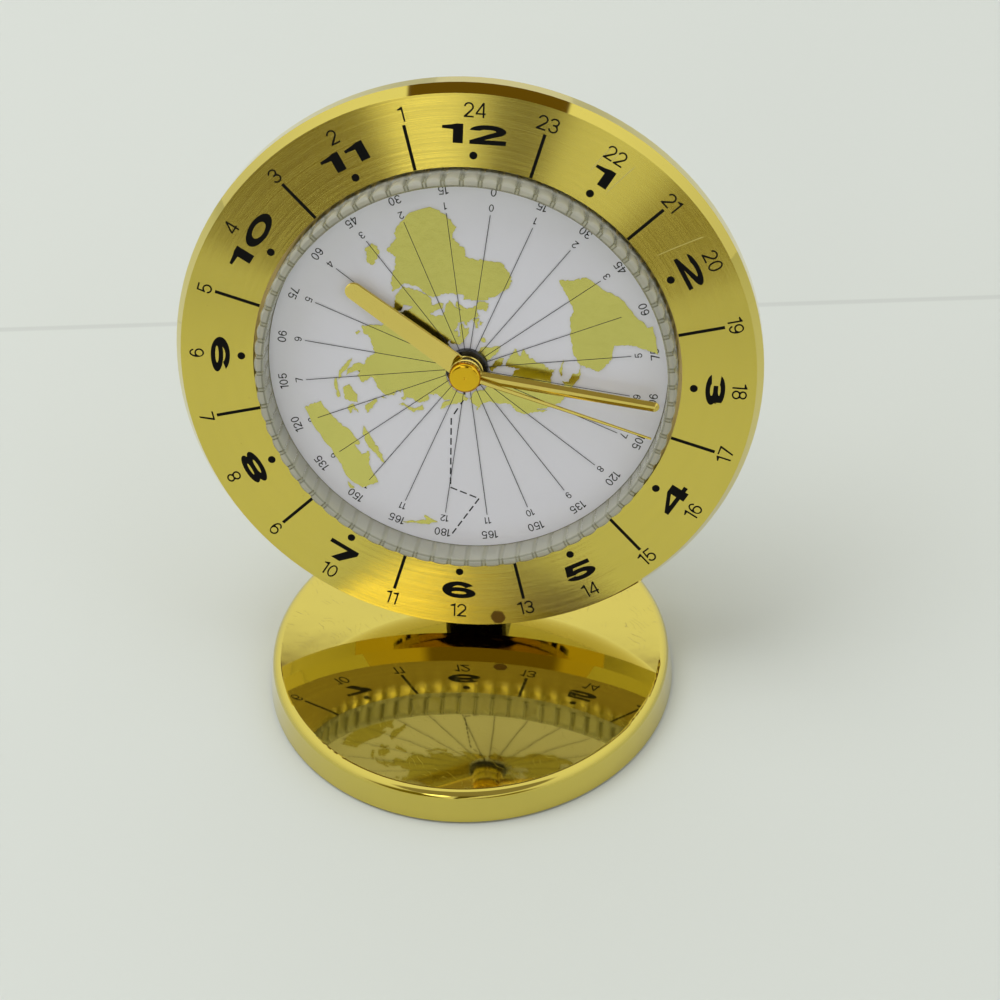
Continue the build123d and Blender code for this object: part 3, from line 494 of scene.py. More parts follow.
def face_mesh(bm, name):
    """Mesh of points given in millimetres on the plane of the ring's face."""
    mesh = bpy.data.meshes.new(name)
    bmesh.ops.recalc_face_normals(bm, faces=bm.faces)
    bm.transform(FACE @ Matrix.Scale(MM, 4))
    bm.to_mesh(mesh)
    bm.free()
    return mesh


class Sheet:
    """Flat outlines raised into thin closed solids on the plane of the ring's face."""

    def __init__(self):
        self.bm = bmesh.new()

    def raise_loops(self, loops, low, high):
        """First loop is the outline, the others are its holes; points in millimetres on the face."""
        points = [[Vector((x, y, 0)) for x, y in loop] for loop in loops]
        flat = [p for loop in points for p in loop]
        top = [self.bm.verts.new((p.x, p.y, high)) for p in flat]
        bottom = [self.bm.verts.new((p.x, p.y, low)) for p in flat]
        for a, b, c in tessellate_polygon(points):
            if (flat[b] - flat[a]).cross(flat[c] - flat[a]).z < 0:
                b, c = c, b
            if len({a, b, c}) == 3:
                self.bm.faces.new((top[a], top[b], top[c]))
                self.bm.faces.new((bottom[c], bottom[b], bottom[a]))
        start = 0
        for loop in points:
            size = len(loop)
            for k in range(size):
                a, b = start + k, start + (k + 1) % size
                self.bm.faces.new((top[a], bottom[a], bottom[b], top[b]))
            start += size

    def piece(self, name, body, slot, finish):
        return make_piece(name, face_mesh(self.bm, name), body, finish)


def lathe(profile, steps=96):
    """Closed turned solid round the ring's axis, from (radius, height) pairs in millimetres."""
    bm = bmesh.new()
    bridge(bm, [circle_points(bm, radius, height, steps) for radius, height in profile])
    return face_mesh(bm, "turned")


# Numerals: outlines in units of their height, with the thickness of upright and of level strokes

def arc(cx, cy, rx, ry, start, end, steps=18):
    return [
        (cx + rx * math.cos(math.radians(start + (end - start) * k / steps)),
         cy + ry * math.sin(math.radians(start + (end - start) * k / steps)))
        for k in range(steps + 1)]


def digit(figure, w, t, s):
    """Loops of one digit: w is its width, t the thickness of its upright and s of its level strokes."""
    h, low = w / 2, 0.52
    ru, rl = (1 - low + s / 2) / 2, (low + s / 2) / 2
    yu, yl = 1 - ru, rl
    if figure == "0":
        return [arc(h, 0.5, h, 0.5, 0, 350, 35), arc(h, 0.5, h - t, 0.5 - s, 0, 350, 35)]
    if figure == "1":
        flag = 0.87
        return [[(w, 0), (w, 1), (w - 0.62 * t, 1), (w - t - 0.1, 0.93), (0, flag),
                 (0, flag - 0.55 * s - 0.02), (w - t, flag - 0.75 * s), (w - t, 0)]]
    if figure == "2":
        ry = 0.31
        bottom = 1.3 * t + 0.02
        return [[(0, 0), (w, 0), (w, s), (bottom + 0.05, s)] + arc(h, 1 - ry, h, ry, -42, 176)
                + arc(h, 1 - ry, h - t, ry - s, 176, -30) + [(0, 0.8 * s)]]
    if figure == "3":
        return [arc(h, yu, h * 0.96, ru, 170, -40) + arc(h, yl, h, rl, 40, -172)
                + arc(h, yl, h - t, rl - s, -172, 70) + [(0.36 * w, low - s / 2), (0.36 * w, low + s / 2)]
                + arc(h, yu, h * 0.96 - t, ru - s, -70, 170)]
    if figure == "4":
        stem = w - t - 0.13 * w
        bar = 0.21
        slope = (1 - bar - s) / stem
        inner = 0.85 * t + 0.03
        hole = [(inner, bar + s), (stem, bar + s), (stem, bar + s + slope * (stem - inner))]
        return [[(stem, 0), (stem + t, 0), (stem + t, bar), (w, bar), (w, bar + s), (stem + t, bar + s),
                 (stem + t, 1), (stem, 1), (0, bar + s), (0, bar), (stem, bar)], hole]
    if figure == "5":
        ry = 0.325
        return [[(0.13 * w, 1), (0.93 * w, 1), (0.93 * w, 1 - s), (0.13 * w + 0.75 * t, 1 - s),
                 (0.10 * w + 0.75 * t, 2 * ry - 0.05)] + arc(h, ry, h, ry, 108, -172)
                + arc(h, ry, h - t, ry - s, -172, 150) + [(0.04 * w, 0.40)]]
    if figure in "69":
        ry = 0.325
        outer = arc(h, 0.5, h, 0.5, 34, 270, 26) + arc(h, ry, h, ry, -86, 112) + arc(
            h, 0.5, h - t, 0.5 - s, 158, 30)
        hole = arc(h, ry, h - t, ry - s, 0, 348, 29)
        loops = [outer, hole]
        if figure == "9":
            loops = [[(w - x, 1 - y) for x, y in loop] for loop in loops]
        return loops
    if figure == "7":
        foot = 0.30 * w
        return [[(0, 1), (w, 1), (w, 1 - s), (foot + t * 1.02, 0), (foot, 0), (w - 1.15 * t - 0.02, 1 - s),
                 (0, 1 - s)]]
    return [arc(h, yl, h, rl, 42, -222, 36) + arc(h, yu, h * 0.93, ru, 222, -42, 30),
            arc(h, yu, h * 0.93 - t, ru - s, 0, 348, 29), arc(h, yl, h - t, rl - s, 0, 348, 29)]


THIN = {figure: 0.36 if figure == "1" else 0.64 for figure in "0123456789"}
BOLD = dict(zip("0123456789", (2.03, 1.04, 1.80, 1.67, 1.83, 1.70, 1.80, 1.67, 1.83, 1.95)))

# Widths of the numerals, thickness of their upright and level strokes, and gap between two, for a height of 1
Style = namedtuple("Style", "widths upright level gap")
HOUR_STYLE = Style(BOLD, 0.50, 0.235, 0.32)
DAY_STYLE = Style(THIN, 0.112, 0.105, 0.12)
MAP_STYLE = Style(THIN, 0.13, 0.12, 0.13)


def put_number(sheet, value, style, height, radius, angle, inward, low, high):
    """Number on the face at a clockwise angle from the top, its top outward or inward."""
    figures = str(value)
    total = sum(style.widths[c] for c in figures) + style.gap * (len(figures) - 1)
    a = math.radians(angle)
    out, along = Vector((math.sin(a), math.cos(a))), Vector((math.cos(a), -math.sin(a)))
    sign = -1 if inward else 1
    start = -total / 2
    for c in figures:
        width = style.widths[c]
        sheet.raise_loops([
            [tuple(out * (radius + sign * (y - 0.5) * height) + along * (sign * (start + x) * height))
             for x, y in loop] for loop in digit(c, width, style.upright, style.level)], low, high)
        start += width + style.gap


# Geometry Nodes

class Geometry:
    """A Geometry Nodes tree with named inputs, applied to an empty mesh."""

    def __init__(self, name, inputs):
        self.tree = bpy.data.node_groups.new(name, "GeometryNodeTree")
        self.tree.interface.new_socket("Geometry", in_out="OUTPUT", socket_type="NodeSocketGeometry")
        self.values = inputs
        for key, value in inputs.items():
            kind = "NodeSocketMaterial" if isinstance(value, bpy.types.Material) else (
                "NodeSocketInt" if isinstance(value, int) else "NodeSocketFloat")
            self.tree.interface.new_socket(key, in_out="INPUT", socket_type=kind)
        self.source = self.tree.nodes.new("NodeGroupInput")

    def add(self, kind, settings=None, inputs=None):
        node = self.tree.nodes.new(kind)
        for key, value in (settings or {}).items():
            setattr(node, key, value)
        for key, value in (inputs or {}).items():
            socket = node.inputs[key]
            if isinstance(value, str) and value in self.source.outputs:
                self.tree.links.new(self.source.outputs[value], socket)
            elif isinstance(value, bpy.types.NodeSocket):
                self.tree.links.new(value, socket)
            else:
                socket.default_value = value
        return node.outputs[0]

    def maths(self, operation, first, second):
        return self.add("ShaderNodeMath", {"operation": operation}, {0: first, 1: second})

    def join(self, *parts):
        node = self.tree.nodes.new("GeometryNodeJoinGeometry")
        for part in reversed(parts):
            self.tree.links.new(part, node.inputs[0])
        return node.outputs[0]

    def vector(self, **parts):
        return self.add("ShaderNodeCombineXYZ", inputs=parts)

    def moved(self, geometry, **how):
        return self.add("GeometryNodeTransform", inputs={"Geometry": geometry, **how})

    def solid(self, flat, thickness):
        """Flat faces raised into a closed thin solid."""
        raised = self.add("GeometryNodeExtrudeMesh", {"mode": "FACES"}, {
            "Mesh": flat, "Offset Scale": thickness, "Individual": False})
        return self.join(raised, self.add("GeometryNodeFlipFaces", inputs={"Mesh": flat}))

    def result(self, name, last):
        """Realised, with its material, as a plain mesh on the ring's face."""
        last = self.add("GeometryNodeRealizeInstances", inputs={0: last})
        last = self.add("GeometryNodeSetMaterial", inputs={"Geometry": last, "Material": "Material"})
        last = self.add("GeometryNodeMergeByDistance", inputs={"Geometry": last, "Distance": 0.0005})
        out = self.tree.nodes.new("NodeGroupOutput")
        self.tree.links.new(last, out.inputs[0])
        holder = bpy.data.objects.new(name + "_holder", bpy.data.meshes.new(name + "_holder"))
        bpy.context.scene.collection.objects.link(holder)
        modifier = holder.modifiers.new("Nodes", "NODES")
        modifier.node_group = self.tree
        for item in self.tree.interface.items_tree:
            if item.in_out == "INPUT":
                modifier[item.identifier] = self.values[item.name]
        evaluated = holder.evaluated_get(bpy.context.evaluated_depsgraph_get())
        mesh = bpy.data.meshes.new_from_object(evaluated)
        mesh.name = name
        bpy.data.objects.remove(holder)
        mesh.transform(FACE @ Matrix.Scale(MM, 4))
        return mesh


def pattern_on_circle(g, item, count, radius, first_angle, turn_items):
    """Copies of an item on a circle, the first at a clockwise angle from the top, in degrees."""
    circle = g.add("GeometryNodeMeshCircle", inputs={"Vertices": count, "Radius": radius})
    angle = g.maths("SUBTRACT", 90.0, first_angle)
    angle = g.maths("MULTIPLY", angle, math.pi / 180)
    circle = g.moved(circle, Rotation=g.vector(Z=angle))
    inputs = {"Points": circle, "Instance": item}
    if turn_items:
        place = g.add("GeometryNodeInputPosition")
        inputs["Rotation"] = g.add("FunctionNodeAlignRotationToVector", {"axis": "Y"}, {"Vector": place})
    return g.add("GeometryNodeInstanceOnPoints", inputs=inputs)


def bars_on_circle(g, count, first_angle):
    """Bars along the radius, from the tree's inputs Inner, Outer, Width and Thickness."""
    length = g.maths("SUBTRACT", "Outer", "Inner")
    middle = g.maths("MULTIPLY", g.maths("ADD", "Outer", "Inner"), 0.5)
    bar = g.add("GeometryNodeMeshGrid", inputs={
        "Size X": "Width", "Size Y": length, "Vertices X": 2, "Vertices Y": 2})
    return pattern_on_circle(g, g.solid(bar, "Thickness"), count, middle, first_angle, True)


# Land on the map, as longitudes and latitudes in degrees

LAND = {
    "africa": (
        (-6, 35), (3, 37), (11, 37), (10, 34), (20, 31), (32, 31), (35, 28), (37, 21), (43, 12), (51, 12),
        (47, 4), (41, -3), (39, -8), (41, -15), (35, -20), (35, -24), (32, -28), (27, -34), (20, -35),
        (18, -32), (15, -26), (12, -18), (14, -10), (9, -1), (9, 4), (4, 6), (-4, 5), (-8, 4), (-13, 9),
        (-17, 14), (-17, 21), (-13, 28), (-9, 32)),
    "madagascar": ((44, -25), (43, -21), (44, -16), (49, -12), (50, -16), (47, -25)),
    "eurasia": (
        (-9, 37), (-9, 43), (-1, 43), (-1, 46), (-5, 48), (2, 51), (5, 53), (8, 54), (8, 57), (11, 56),
        (11, 54), (19, 54), (21, 57), (24, 59), (29, 60), (22, 60), (22, 63), (25, 65), (21, 65), (17, 61),
        (18, 59), (14, 55), (11, 59), (6, 58), (5, 62), (14, 68), (25, 71), (40, 67), (34, 65), (44, 66),
        (44, 68), (60, 69), (68, 68), (72, 73), (80, 73), (98, 76), (104, 78), (113, 74), (127, 73),
        (140, 72), (160, 70), (178, 69), (190, 66), (180, 63), (170, 60), (163, 57), (157, 51), (156, 57),
        (163, 62), (155, 59), (142, 59), (136, 54), (141, 52), (140, 48), (135, 43), (130, 42), (127, 39),
        (129, 36), (126, 35), (125, 38), (121, 39), (118, 39), (122, 37), (119, 35), (122, 31), (120, 26),
        (114, 22), (109, 21), (106, 19), (109, 13), (105, 9), (101, 13), (103, 4), (104, 1), (101, 3),
        (98, 9), (98, 16), (94, 17), (91, 22), (87, 21), (80, 15), (80, 11), (77, 8), (73, 17), (72, 21),
        (67, 24), (61, 25), (57, 27), (50, 30), (48, 29), (52, 24), (56, 26), (59, 22), (52, 16), (45, 13),
        (42, 18), (39, 22), (35, 28), (34, 32), (36, 36), (30, 36), (27, 38), (29, 41), (41, 41), (38, 45),
        (34, 45), (31, 46), (28, 43), (26, 40), (23, 38), (22, 36), (19, 41), (13, 45), (18, 41), (16, 38),
        (12, 42), (8, 44), (3, 43), (0, 40), (-2, 37)),
    "britain": ((-5, 50), (1, 51), (1, 53), (-2, 56), (-3, 58), (-6, 57), (-3, 54), (-5, 52)),
    "ireland": ((-10, 52), (-6, 52), (-6, 55), (-9, 54)),
    "iceland": ((-24, 65), (-18, 63), (-14, 65), (-17, 66), (-23, 66)),
    "greenland": (
        (-45, 60), (-51, 64), (-54, 70), (-60, 76), (-70, 78), (-60, 82), (-35, 83), (-20, 81), (-20, 75),
        (-25, 70), (-38, 66)),
    "north_america": (
        (-168, 66), (-156, 71), (-141, 70), (-125, 70), (-108, 68), (-95, 70), (-94, 62), (-92, 58),
        (-82, 55), (-80, 52), (-78, 58), (-77, 62), (-70, 61), (-65, 58), (-56, 52), (-66, 50), (-60, 46),
        (-70, 44), (-70, 42), (-75, 39), (-76, 35), (-81, 31), (-80, 26), (-83, 29), (-90, 29), (-97, 27),
        (-97, 21), (-92, 18), (-88, 21), (-88, 16), (-83, 14), (-82, 9), (-78, 8), (-83, 8), (-92, 14),
        (-102, 18), (-106, 23), (-113, 31), (-110, 24), (-117, 32), (-122, 37), (-124, 43), (-123, 49),
        (-132, 55), (-140, 60), (-151, 60), (-160, 56), (-157, 59), (-165, 62)),
    "baffin": ((-64, 62), (-72, 64), (-80, 70), (-88, 72), (-78, 74), (-68, 70), (-62, 66)),
    "ellesmere": ((-90, 77), (-75, 79), (-65, 82), (-85, 82)),
    "victoria": ((-118, 71), (-105, 69), (-103, 72), (-112, 74)),
    "cuba": ((-85, 22), (-80, 21), (-74, 20), (-78, 22), (-82, 23.5)),
    "south_america": (
        (-78, 8), (-72, 12), (-62, 11), (-52, 5), (-50, 0), (-44, -2), (-35, -6), (-39, -14), (-41, -22),
        (-48, -26), (-53, -33), (-58, -36), (-62, -39), (-66, -44), (-66, -48), (-75, -48), (-73, -40),
        (-71, -30), (-70, -18), (-76, -14), (-81, -5), (-80, 0)),
    "sri_lanka": ((80, 9), (82, 7), (81, 5.5), (79.5, 7)),
    "japan": (
        (130, 31), (132, 34), (137, 35), (141, 36), (142, 40), (145, 43), (141, 45), (140, 40), (136, 37),
        (130, 34)),
    "taiwan": ((120, 23), (122, 25), (121, 22)),
    "philippines": ((120, 18), (122, 18), (124, 13), (126, 7), (122, 8), (121, 13)),
    "sumatra": ((95, 6), (100, 3), (106, -5), (103, -4), (98, 2)),
    "java": ((105, -6), (114, -7), (114, -9), (106, -8)),
    "borneo": ((109, 2), (115, 6), (119, 4), (116, -4), (110, -3)),
    "celebes": ((119, 0), (124, 1), (121, -1), (123, -5), (120, -5)),
    "new_guinea": ((131, -1), (138, -2), (147, -6), (150, -10), (143, -9), (138, -8), (133, -4)),
    "australia": (
        (114, -22), (122, -18), (130, -12), (137, -12), (136, -16), (141, -17), (142, -11), (146, -19),
        (153, -26), (150, -37), (144, -38), (138, -34), (132, -32), (124, -34), (115, -35)),
    "tasmania": ((145, -41), (148, -41), (147, -43.5)),
    "new_zealand": ((173, -35), (178, -38), (174, -42), (167, -46), (172, -40.5), (174, -39)),
}


# Degrees between points of a coast; how far its corners and the points between wander, in millimetres
COAST_STEP, CORNER_WANDER, COAST_WANDER = 1.3, 0.04, 0.15


def land_points(shape, per_degree, turn, rim, seed):
    """Coast on the face, in millimetres, roughened by a small seeded wander."""
    wander = random.Random(seed)
    points = []
    for (lon_a, lat_a), (lon_b, lat_b) in zip(shape, shape[1:] + shape[:1]):
        run = math.hypot((lon_b - lon_a) * math.cos(math.radians(lat_a)), lat_b - lat_a)
        steps = max(1, round(run / COAST_STEP))
        for k in range(steps):
            share = k / steps
            lon = lon_a + (lon_b - lon_a) * share
            lat = lat_a + (lat_b - lat_a) * share
            r = (90 - lat) * per_degree
            a = math.radians(turn - lon)
            wobble = CORNER_WANDER if k == 0 else COAST_WANDER
            x = r * math.sin(a) + wander.uniform(-wobble, wobble)
            y = r * math.cos(a) + wander.uniform(-wobble, wobble)
            r = math.hypot(x, y)
            if r > rim:
                x, y = x * rim / r, y * rim / r
            points.append((x, y))
    return points


# Operators

class CLOCK_OT_ring_print(bpy.types.Operator):
    """Dots, ticks and numbers printed on the ring"""

    bl_idname = "clock.ring_print"
    bl_label = "Ring print"

    def execute(self, context):
        s = context.scene.clock_ring_print
        finish = ink("ring_ink", s.ink, 0.35)
        low = front_of("bezel_ring")
        high = low + s.thickness
        hours = 12
        g = Geometry("hour_marks", {
            "Count": hours, "Dot Circle": s.dot_circle, "Dot Radius": s.dot_radius, "Inner": s.tick_inner,
            "Outer": s.tick_outer, "Width": s.tick_width, "Turn": s.turn, "Thickness": s.thickness,
            "Material": finish})
        dot = g.add("GeometryNodeMeshCircle", {"fill_type": "NGON"}, {"Vertices": 28, "Radius": "Dot Radius"})
        dots = pattern_on_circle(g, g.solid(dot, "Thickness"), "Count", "Dot Circle", "Turn", False)
        half_step = g.maths("DIVIDE", 180.0, "Count")
        ticks = bars_on_circle(g, "Count", g.maths("ADD", "Turn", half_step))
        lifted = g.moved(g.join(dots, ticks), Translation=(0, 0, low))
        make_piece("hour_marks", g.result("hour_marks", lifted), "stand", finish)

        # Numbers in the lower part of the ring stand with their top inward
        sheet = Sheet()
        for hour in range(1, hours + 1):
            put_number(
                sheet, hour, HOUR_STYLE, s.hours_height, s.hours_radius, 360 / hours * hour + s.turn,
                4 <= hour <= 7, low, high)
        sheet.piece("hour_numerals", "stand", "nut_black", finish)

        sheet = Sheet()
        day = 2 * hours
        for hour in range(1, day + 1):
            put_number(
                sheet, hour, DAY_STYLE, s.day_height, s.day_radius, (day - hour) * 360 / day + s.turn,
                hour == 7 or 10 <= hour <= 17, low, high)
        sheet.piece("day_numbers", "stand", "nut_black", finish)
        return {"FINISHED"}


# Corners of the date line on the face, in millimetres, and its dashes
DATE_LINE = ((-0.4, -3.4), (-0.5, -5.2), (-2.6, -8.6), (-2.9, -20.6), (1.6, -22.4), (-3.0, -29.2))
DASH_STEP, DASH_LENGTH, DASH_HALF_WIDTH = 1.75, 1.15, 0.11


class CLOCK_OT_map_print(bpy.types.Operator):
    """Foil land, meridians, date line and longitude numbers on the map"""

    bl_idname = "clock.map_print"
    bl_label = "Map print"

    def execute(self, context):
        s = context.scene.clock_map
        low = front_of("map_disc")
        dress(paper(s.paper), "map_disc")
        sheet = Sheet()
        for seed, shape in enumerate(LAND.values()):
            coast = land_points(shape, s.per_degree, s.turn, s.rim, seed)
            sheet.raise_loops([coast], low, low + s.foil_thickness)
        sheet.piece("land_foil", "map_dial", "map_print", foil(s.foil))

        finish = ink("map_ink", s.line, 0.4)
        meridians = 24
        apart = 360 // meridians
        g = Geometry("meridians", {
            "Count": meridians, "Inner": s.line_start, "Outer": s.line_end, "Width": s.line_width,
            "Turn": s.turn, "Thickness": s.ink_thickness, "Material": finish})
        lifted = g.moved(bars_on_circle(g, "Count", "Turn"), Translation=(0, 0, low + s.foil_thickness))
        make_piece("meridians", g.result("meridians", lifted), "map_dial", finish)

        sheet = Sheet()
        high = low + s.ink_thickness
        for step in range(meridians):
            hours = min(step, meridians - step)
            angle = s.turn - apart * step
            inward = abs((angle + 180) % 360 - 180) < 90
            put_number(
                sheet, apart * hours, MAP_STYLE, s.number_height, s.degrees_circle, angle, inward, low, high)
            put_number(
                sheet, hours, MAP_STYLE, s.number_height * 0.85, s.hours_circle, angle, inward, low, high)
        sheet.piece("longitude_numbers", "map_dial", "map_print", finish)

        sheet = Sheet()
        for first, second in zip(DATE_LINE, DATE_LINE[1:]):
            a, run = Vector(first), Vector(second) - Vector(first)
            along, aside = run.normalized(), Vector((-run.y, run.x)).normalized() * DASH_HALF_WIDTH
            count = max(1, round(run.length / DASH_STEP))
            for k in range(count):
                start = a + along * (run.length * k / count)
                end = start + along * min(DASH_LENGTH, run.length)
                corners = (start - aside, end - aside, end + aside, start + aside)
                sheet.raise_loops([[tuple(corner) for corner in corners]], low, high)
        sheet.piece("date_line", "map_dial", "map_print", finish)
        return {"FINISHED"}


# A hand's body, widths at root and tip, radii of its collar and of the collar's hole, width of its bevel,
# thickness, and how far the collar reaches behind the blade, in millimetres
Hand = namedtuple("Hand", "body root tip collar tube bevel thick below")
HANDS = {
    "hour": Hand("hour_arm", 3.5, 2.8, 2.65, 1.5, 0.17, 0.35, 0.45),
    "minute": Hand("minute_arm", 1.9, 1.6, 2.5, 1.0, 0.62, 0.45, 0.45),
    "second": Hand("second_arm", 0.75, 0.36, 2.1, 0.45, 0.1, 0.25, 0.0),
}


class CLOCK_OT_hands(bpy.types.Operator):
    """Hands and the turned cap over them"""

    bl_idname = "clock.hands"
    bl_label = "Hands"

    @staticmethod
    def blade(hand, bearing, length, front):
        """Blade with a round end and bevelled edges, on a collar with a hole."""
        bm = bmesh.new()
        back = front - hand.thick
        start = math.sqrt(hand.tube * hand.tube + 0.4)
        end = length - hand.tip / 2

        def outline(inset, height):
            half_root, half_tip = hand.root / 2 - inset, hand.tip / 2 - inset
            points = [(start, -half_root), (end, -half_tip)]
            for k in range(1, 12):
                t = math.pi * k / 12
                points.append((end + half_tip * math.sin(t), -half_tip * math.cos(t)))
            points += [(end, half_tip), (start, half_root)]
            return [bm.verts.new((x, y, height)) for x, y in points]

        drop = min(hand.bevel * 0.55, (front - back) * 0.6)
        rows = [
            outline(0.06, back), outline(0, back + 0.06), outline(0, front - drop),
            outline(hand.bevel, front)]
        bridge(bm, rows)
        bm.faces.new(rows[-1])
        bm.faces.new(rows[0][::-1])
        turn = Matrix.Rotation(math.radians(90 - bearing), 3, "Z")
        bmesh.ops.rotate(bm, verts=bm.verts, cent=(0, 0, 0), matrix=turn)
        under, lip = back - hand.below, front - 0.02
        shoulder = front - (front - back) * 0.4
        collar = (
            (hand.tube, under), (hand.collar, under), (hand.collar, shoulder), (hand.collar - 0.12, lip),
            (hand.tube, lip))
        rings = [circle_points(bm, radius, height, 64) for radius, height in collar]
        bridge(bm, rings + rings[:1])
        return face_mesh(bm, "blade")

    def execute(self, context):
        tone = context.scene.clock_finish.hand_gold
        gold = polished_gold("hand_gold", tone, 0.07, 0.4)
        s = context.scene.clock_hands
        for name, hand in HANDS.items():
            bearing, length = getattr(s, name + "_bearing"), getattr(s, name + "_length")
            node = name + "_hand"
            mesh = self.blade(hand, bearing, length, front_of(node))
            piece = make_piece(name + "_blade", mesh, hand.body, gold)
            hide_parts(node)
        front, back = front_of("hand_cap"), back_of("hand_cap")
        wide = (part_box("hand_cap")[1].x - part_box("hand_cap")[0].x) / 2 / MM
        profile = [
            (0, back), (wide - 0.35, back), (wide - 0.25, back + 0.12), (wide - 0.05, back + 0.2),
            (wide, back + 0.32), (wide, front - 0.9), (wide - 0.1, front - 0.8), (wide - 0.1, front - 0.3),
            (wide - 0.16, front - 0.16), (wide - 0.34, front - 0.02), (wide - 0.42, front),
            (wide - 0.9, front - 0.015), (wide - 1.4, front), (0.2, front - 0.02), (0.1, front - 0.09),
            (0, front - 0.12)]
        deep = polished_gold("cap_gold", (tone[0], tone[1] * 0.80, tone[2] * 0.14), 0.05, 0.3, 0.15)
        cap = make_piece("turned_cap", lathe(profile), "second_arm", deep, True)
        cap.data.set_sharp_from_angle(angle=math.radians(30))
        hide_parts("hand_cap")
        return {"FINISHED"}


class CLOCK_OT_metal(bpy.types.Operator):
    """Finishes of the gold, steel and brass nodes"""

    bl_idname = "clock.metal"
    bl_label = "Metal finishes"

    def execute(self, context):
        s = context.scene.clock_finish
        dress(ring_gold(s), "bezel_ring")
        base = [s.gold[0] - 0.07, s.gold[1] - 0.06, s.gold[2] - 0.02]
        dress(polished_gold("base_gold", base, 0.03, 0.5), "base_disc")
        dress(polished_gold("housing_gold", s.gold, 0.08, 0.8), "rear_housing")
        dress(
            plain("screw_steel", (0.55, 0.55, 0.54), 0.32, 1.0, 0.2), "base_screws", "neck_screws",
            "flange_screws", "cover_screws", "movement_screws", "setting_shaft", "quartz_crystal",
            "contact_plus", "contact_minus", "battery", "rotor", "stator")
        dress(
            plain("wheel_brass", (0.70, 0.53, 0.24), 0.3, 1.0, 0.2), "carrier_plate", "clamp_nut",
            "cannon_pinion", "second_wheel", "third_wheel", "centre_wheel")
        dress(plain("ballast_steel", (0.25, 0.25, 0.26), 0.5, 1.0, 0.5), "ballast_disc")
        dress(plain("neck_black", (0.012, 0.011, 0.010), 0.28, 0.0, 0.15), "neck_post")
        dress(plain("nut_black", (0.010, 0.010, 0.011), 0.22, 0.0, 0.1), "hub_nut")
        return {"FINISHED"}


# Points of the cover's screws nearer to each other than this, in millimetres, belong to one head
HEAD_REACH = 4


class CLOCK_OT_screw_heads(bpy.types.Operator):
    """Domed heads with crossed recesses on the back cover's screws"""

    bl_idname = "clock.screw_heads"
    bl_label = "Screw heads"

    def execute(self, context):
        back = FACE.inverted()
        points = [back @ v.co / MM for v in NODES["cover_screws"].data.vertices]
        rear = min(p.z for p in points)
        heads = []
        for p in (p.xy for p in points if p.z < rear + 0.05):
            near = next((head for head in heads if (head[0] - p).length < HEAD_REACH), None)
            if near is None:
                heads.append([p])
            else:
                near.append(p)
        centres = [[(min(axis) + max(axis)) / 2 for axis in zip(*head)] for head in heads]
        radius = max((q - Vector(centres[0])).length for q in heads[0])
        g = Geometry("screw_heads", {
            "Radius": radius - 0.04, "Rise": 0.32, "Recess": 0.30, "Arm": radius * 1.24, "Width": 0.3,
            "Material": NODES["cover_screws"].data.materials[0]})
        dome = g.add("GeometryNodeMeshUVSphere", inputs={"Segments": 32, "Rings": 16, "Radius": "Radius"})
        dome = g.moved(dome, Scale=g.vector(X=1.0, Y=1.0, Z=g.maths("DIVIDE", "Rise", "Radius")))
        lower = g.vector(Z=g.maths("MULTIPLY", "Rise", -1.0))
        cut = g.tree.nodes.new("GeometryNodeMeshBoolean")
        cut.operation = "DIFFERENCE"
        cut.solver = "EXACT"
        g.tree.links.new(dome, cut.inputs[0])
        for x, y in (("Arm", "Width"), ("Width", "Arm")):
            block = g.add("GeometryNodeMeshCube", inputs={"Size": g.vector(X=x, Y=y, Z="Recess")})
            g.tree.links.new(g.moved(block, Translation=lower), cut.inputs[1])
        copies = [
            g.moved(cut.outputs[0], Translation=(x, y, rear + 0.02), Rotation=(0, 0, 0.4 + k))
            for k, (x, y) in enumerate(centres)]
        mesh = g.result("cover_screw_heads", g.join(*copies))
        make_piece("cover_screw_heads", mesh, "stand", None)
        return {"FINISHED"}


POINTS_PER_BEAD = 12


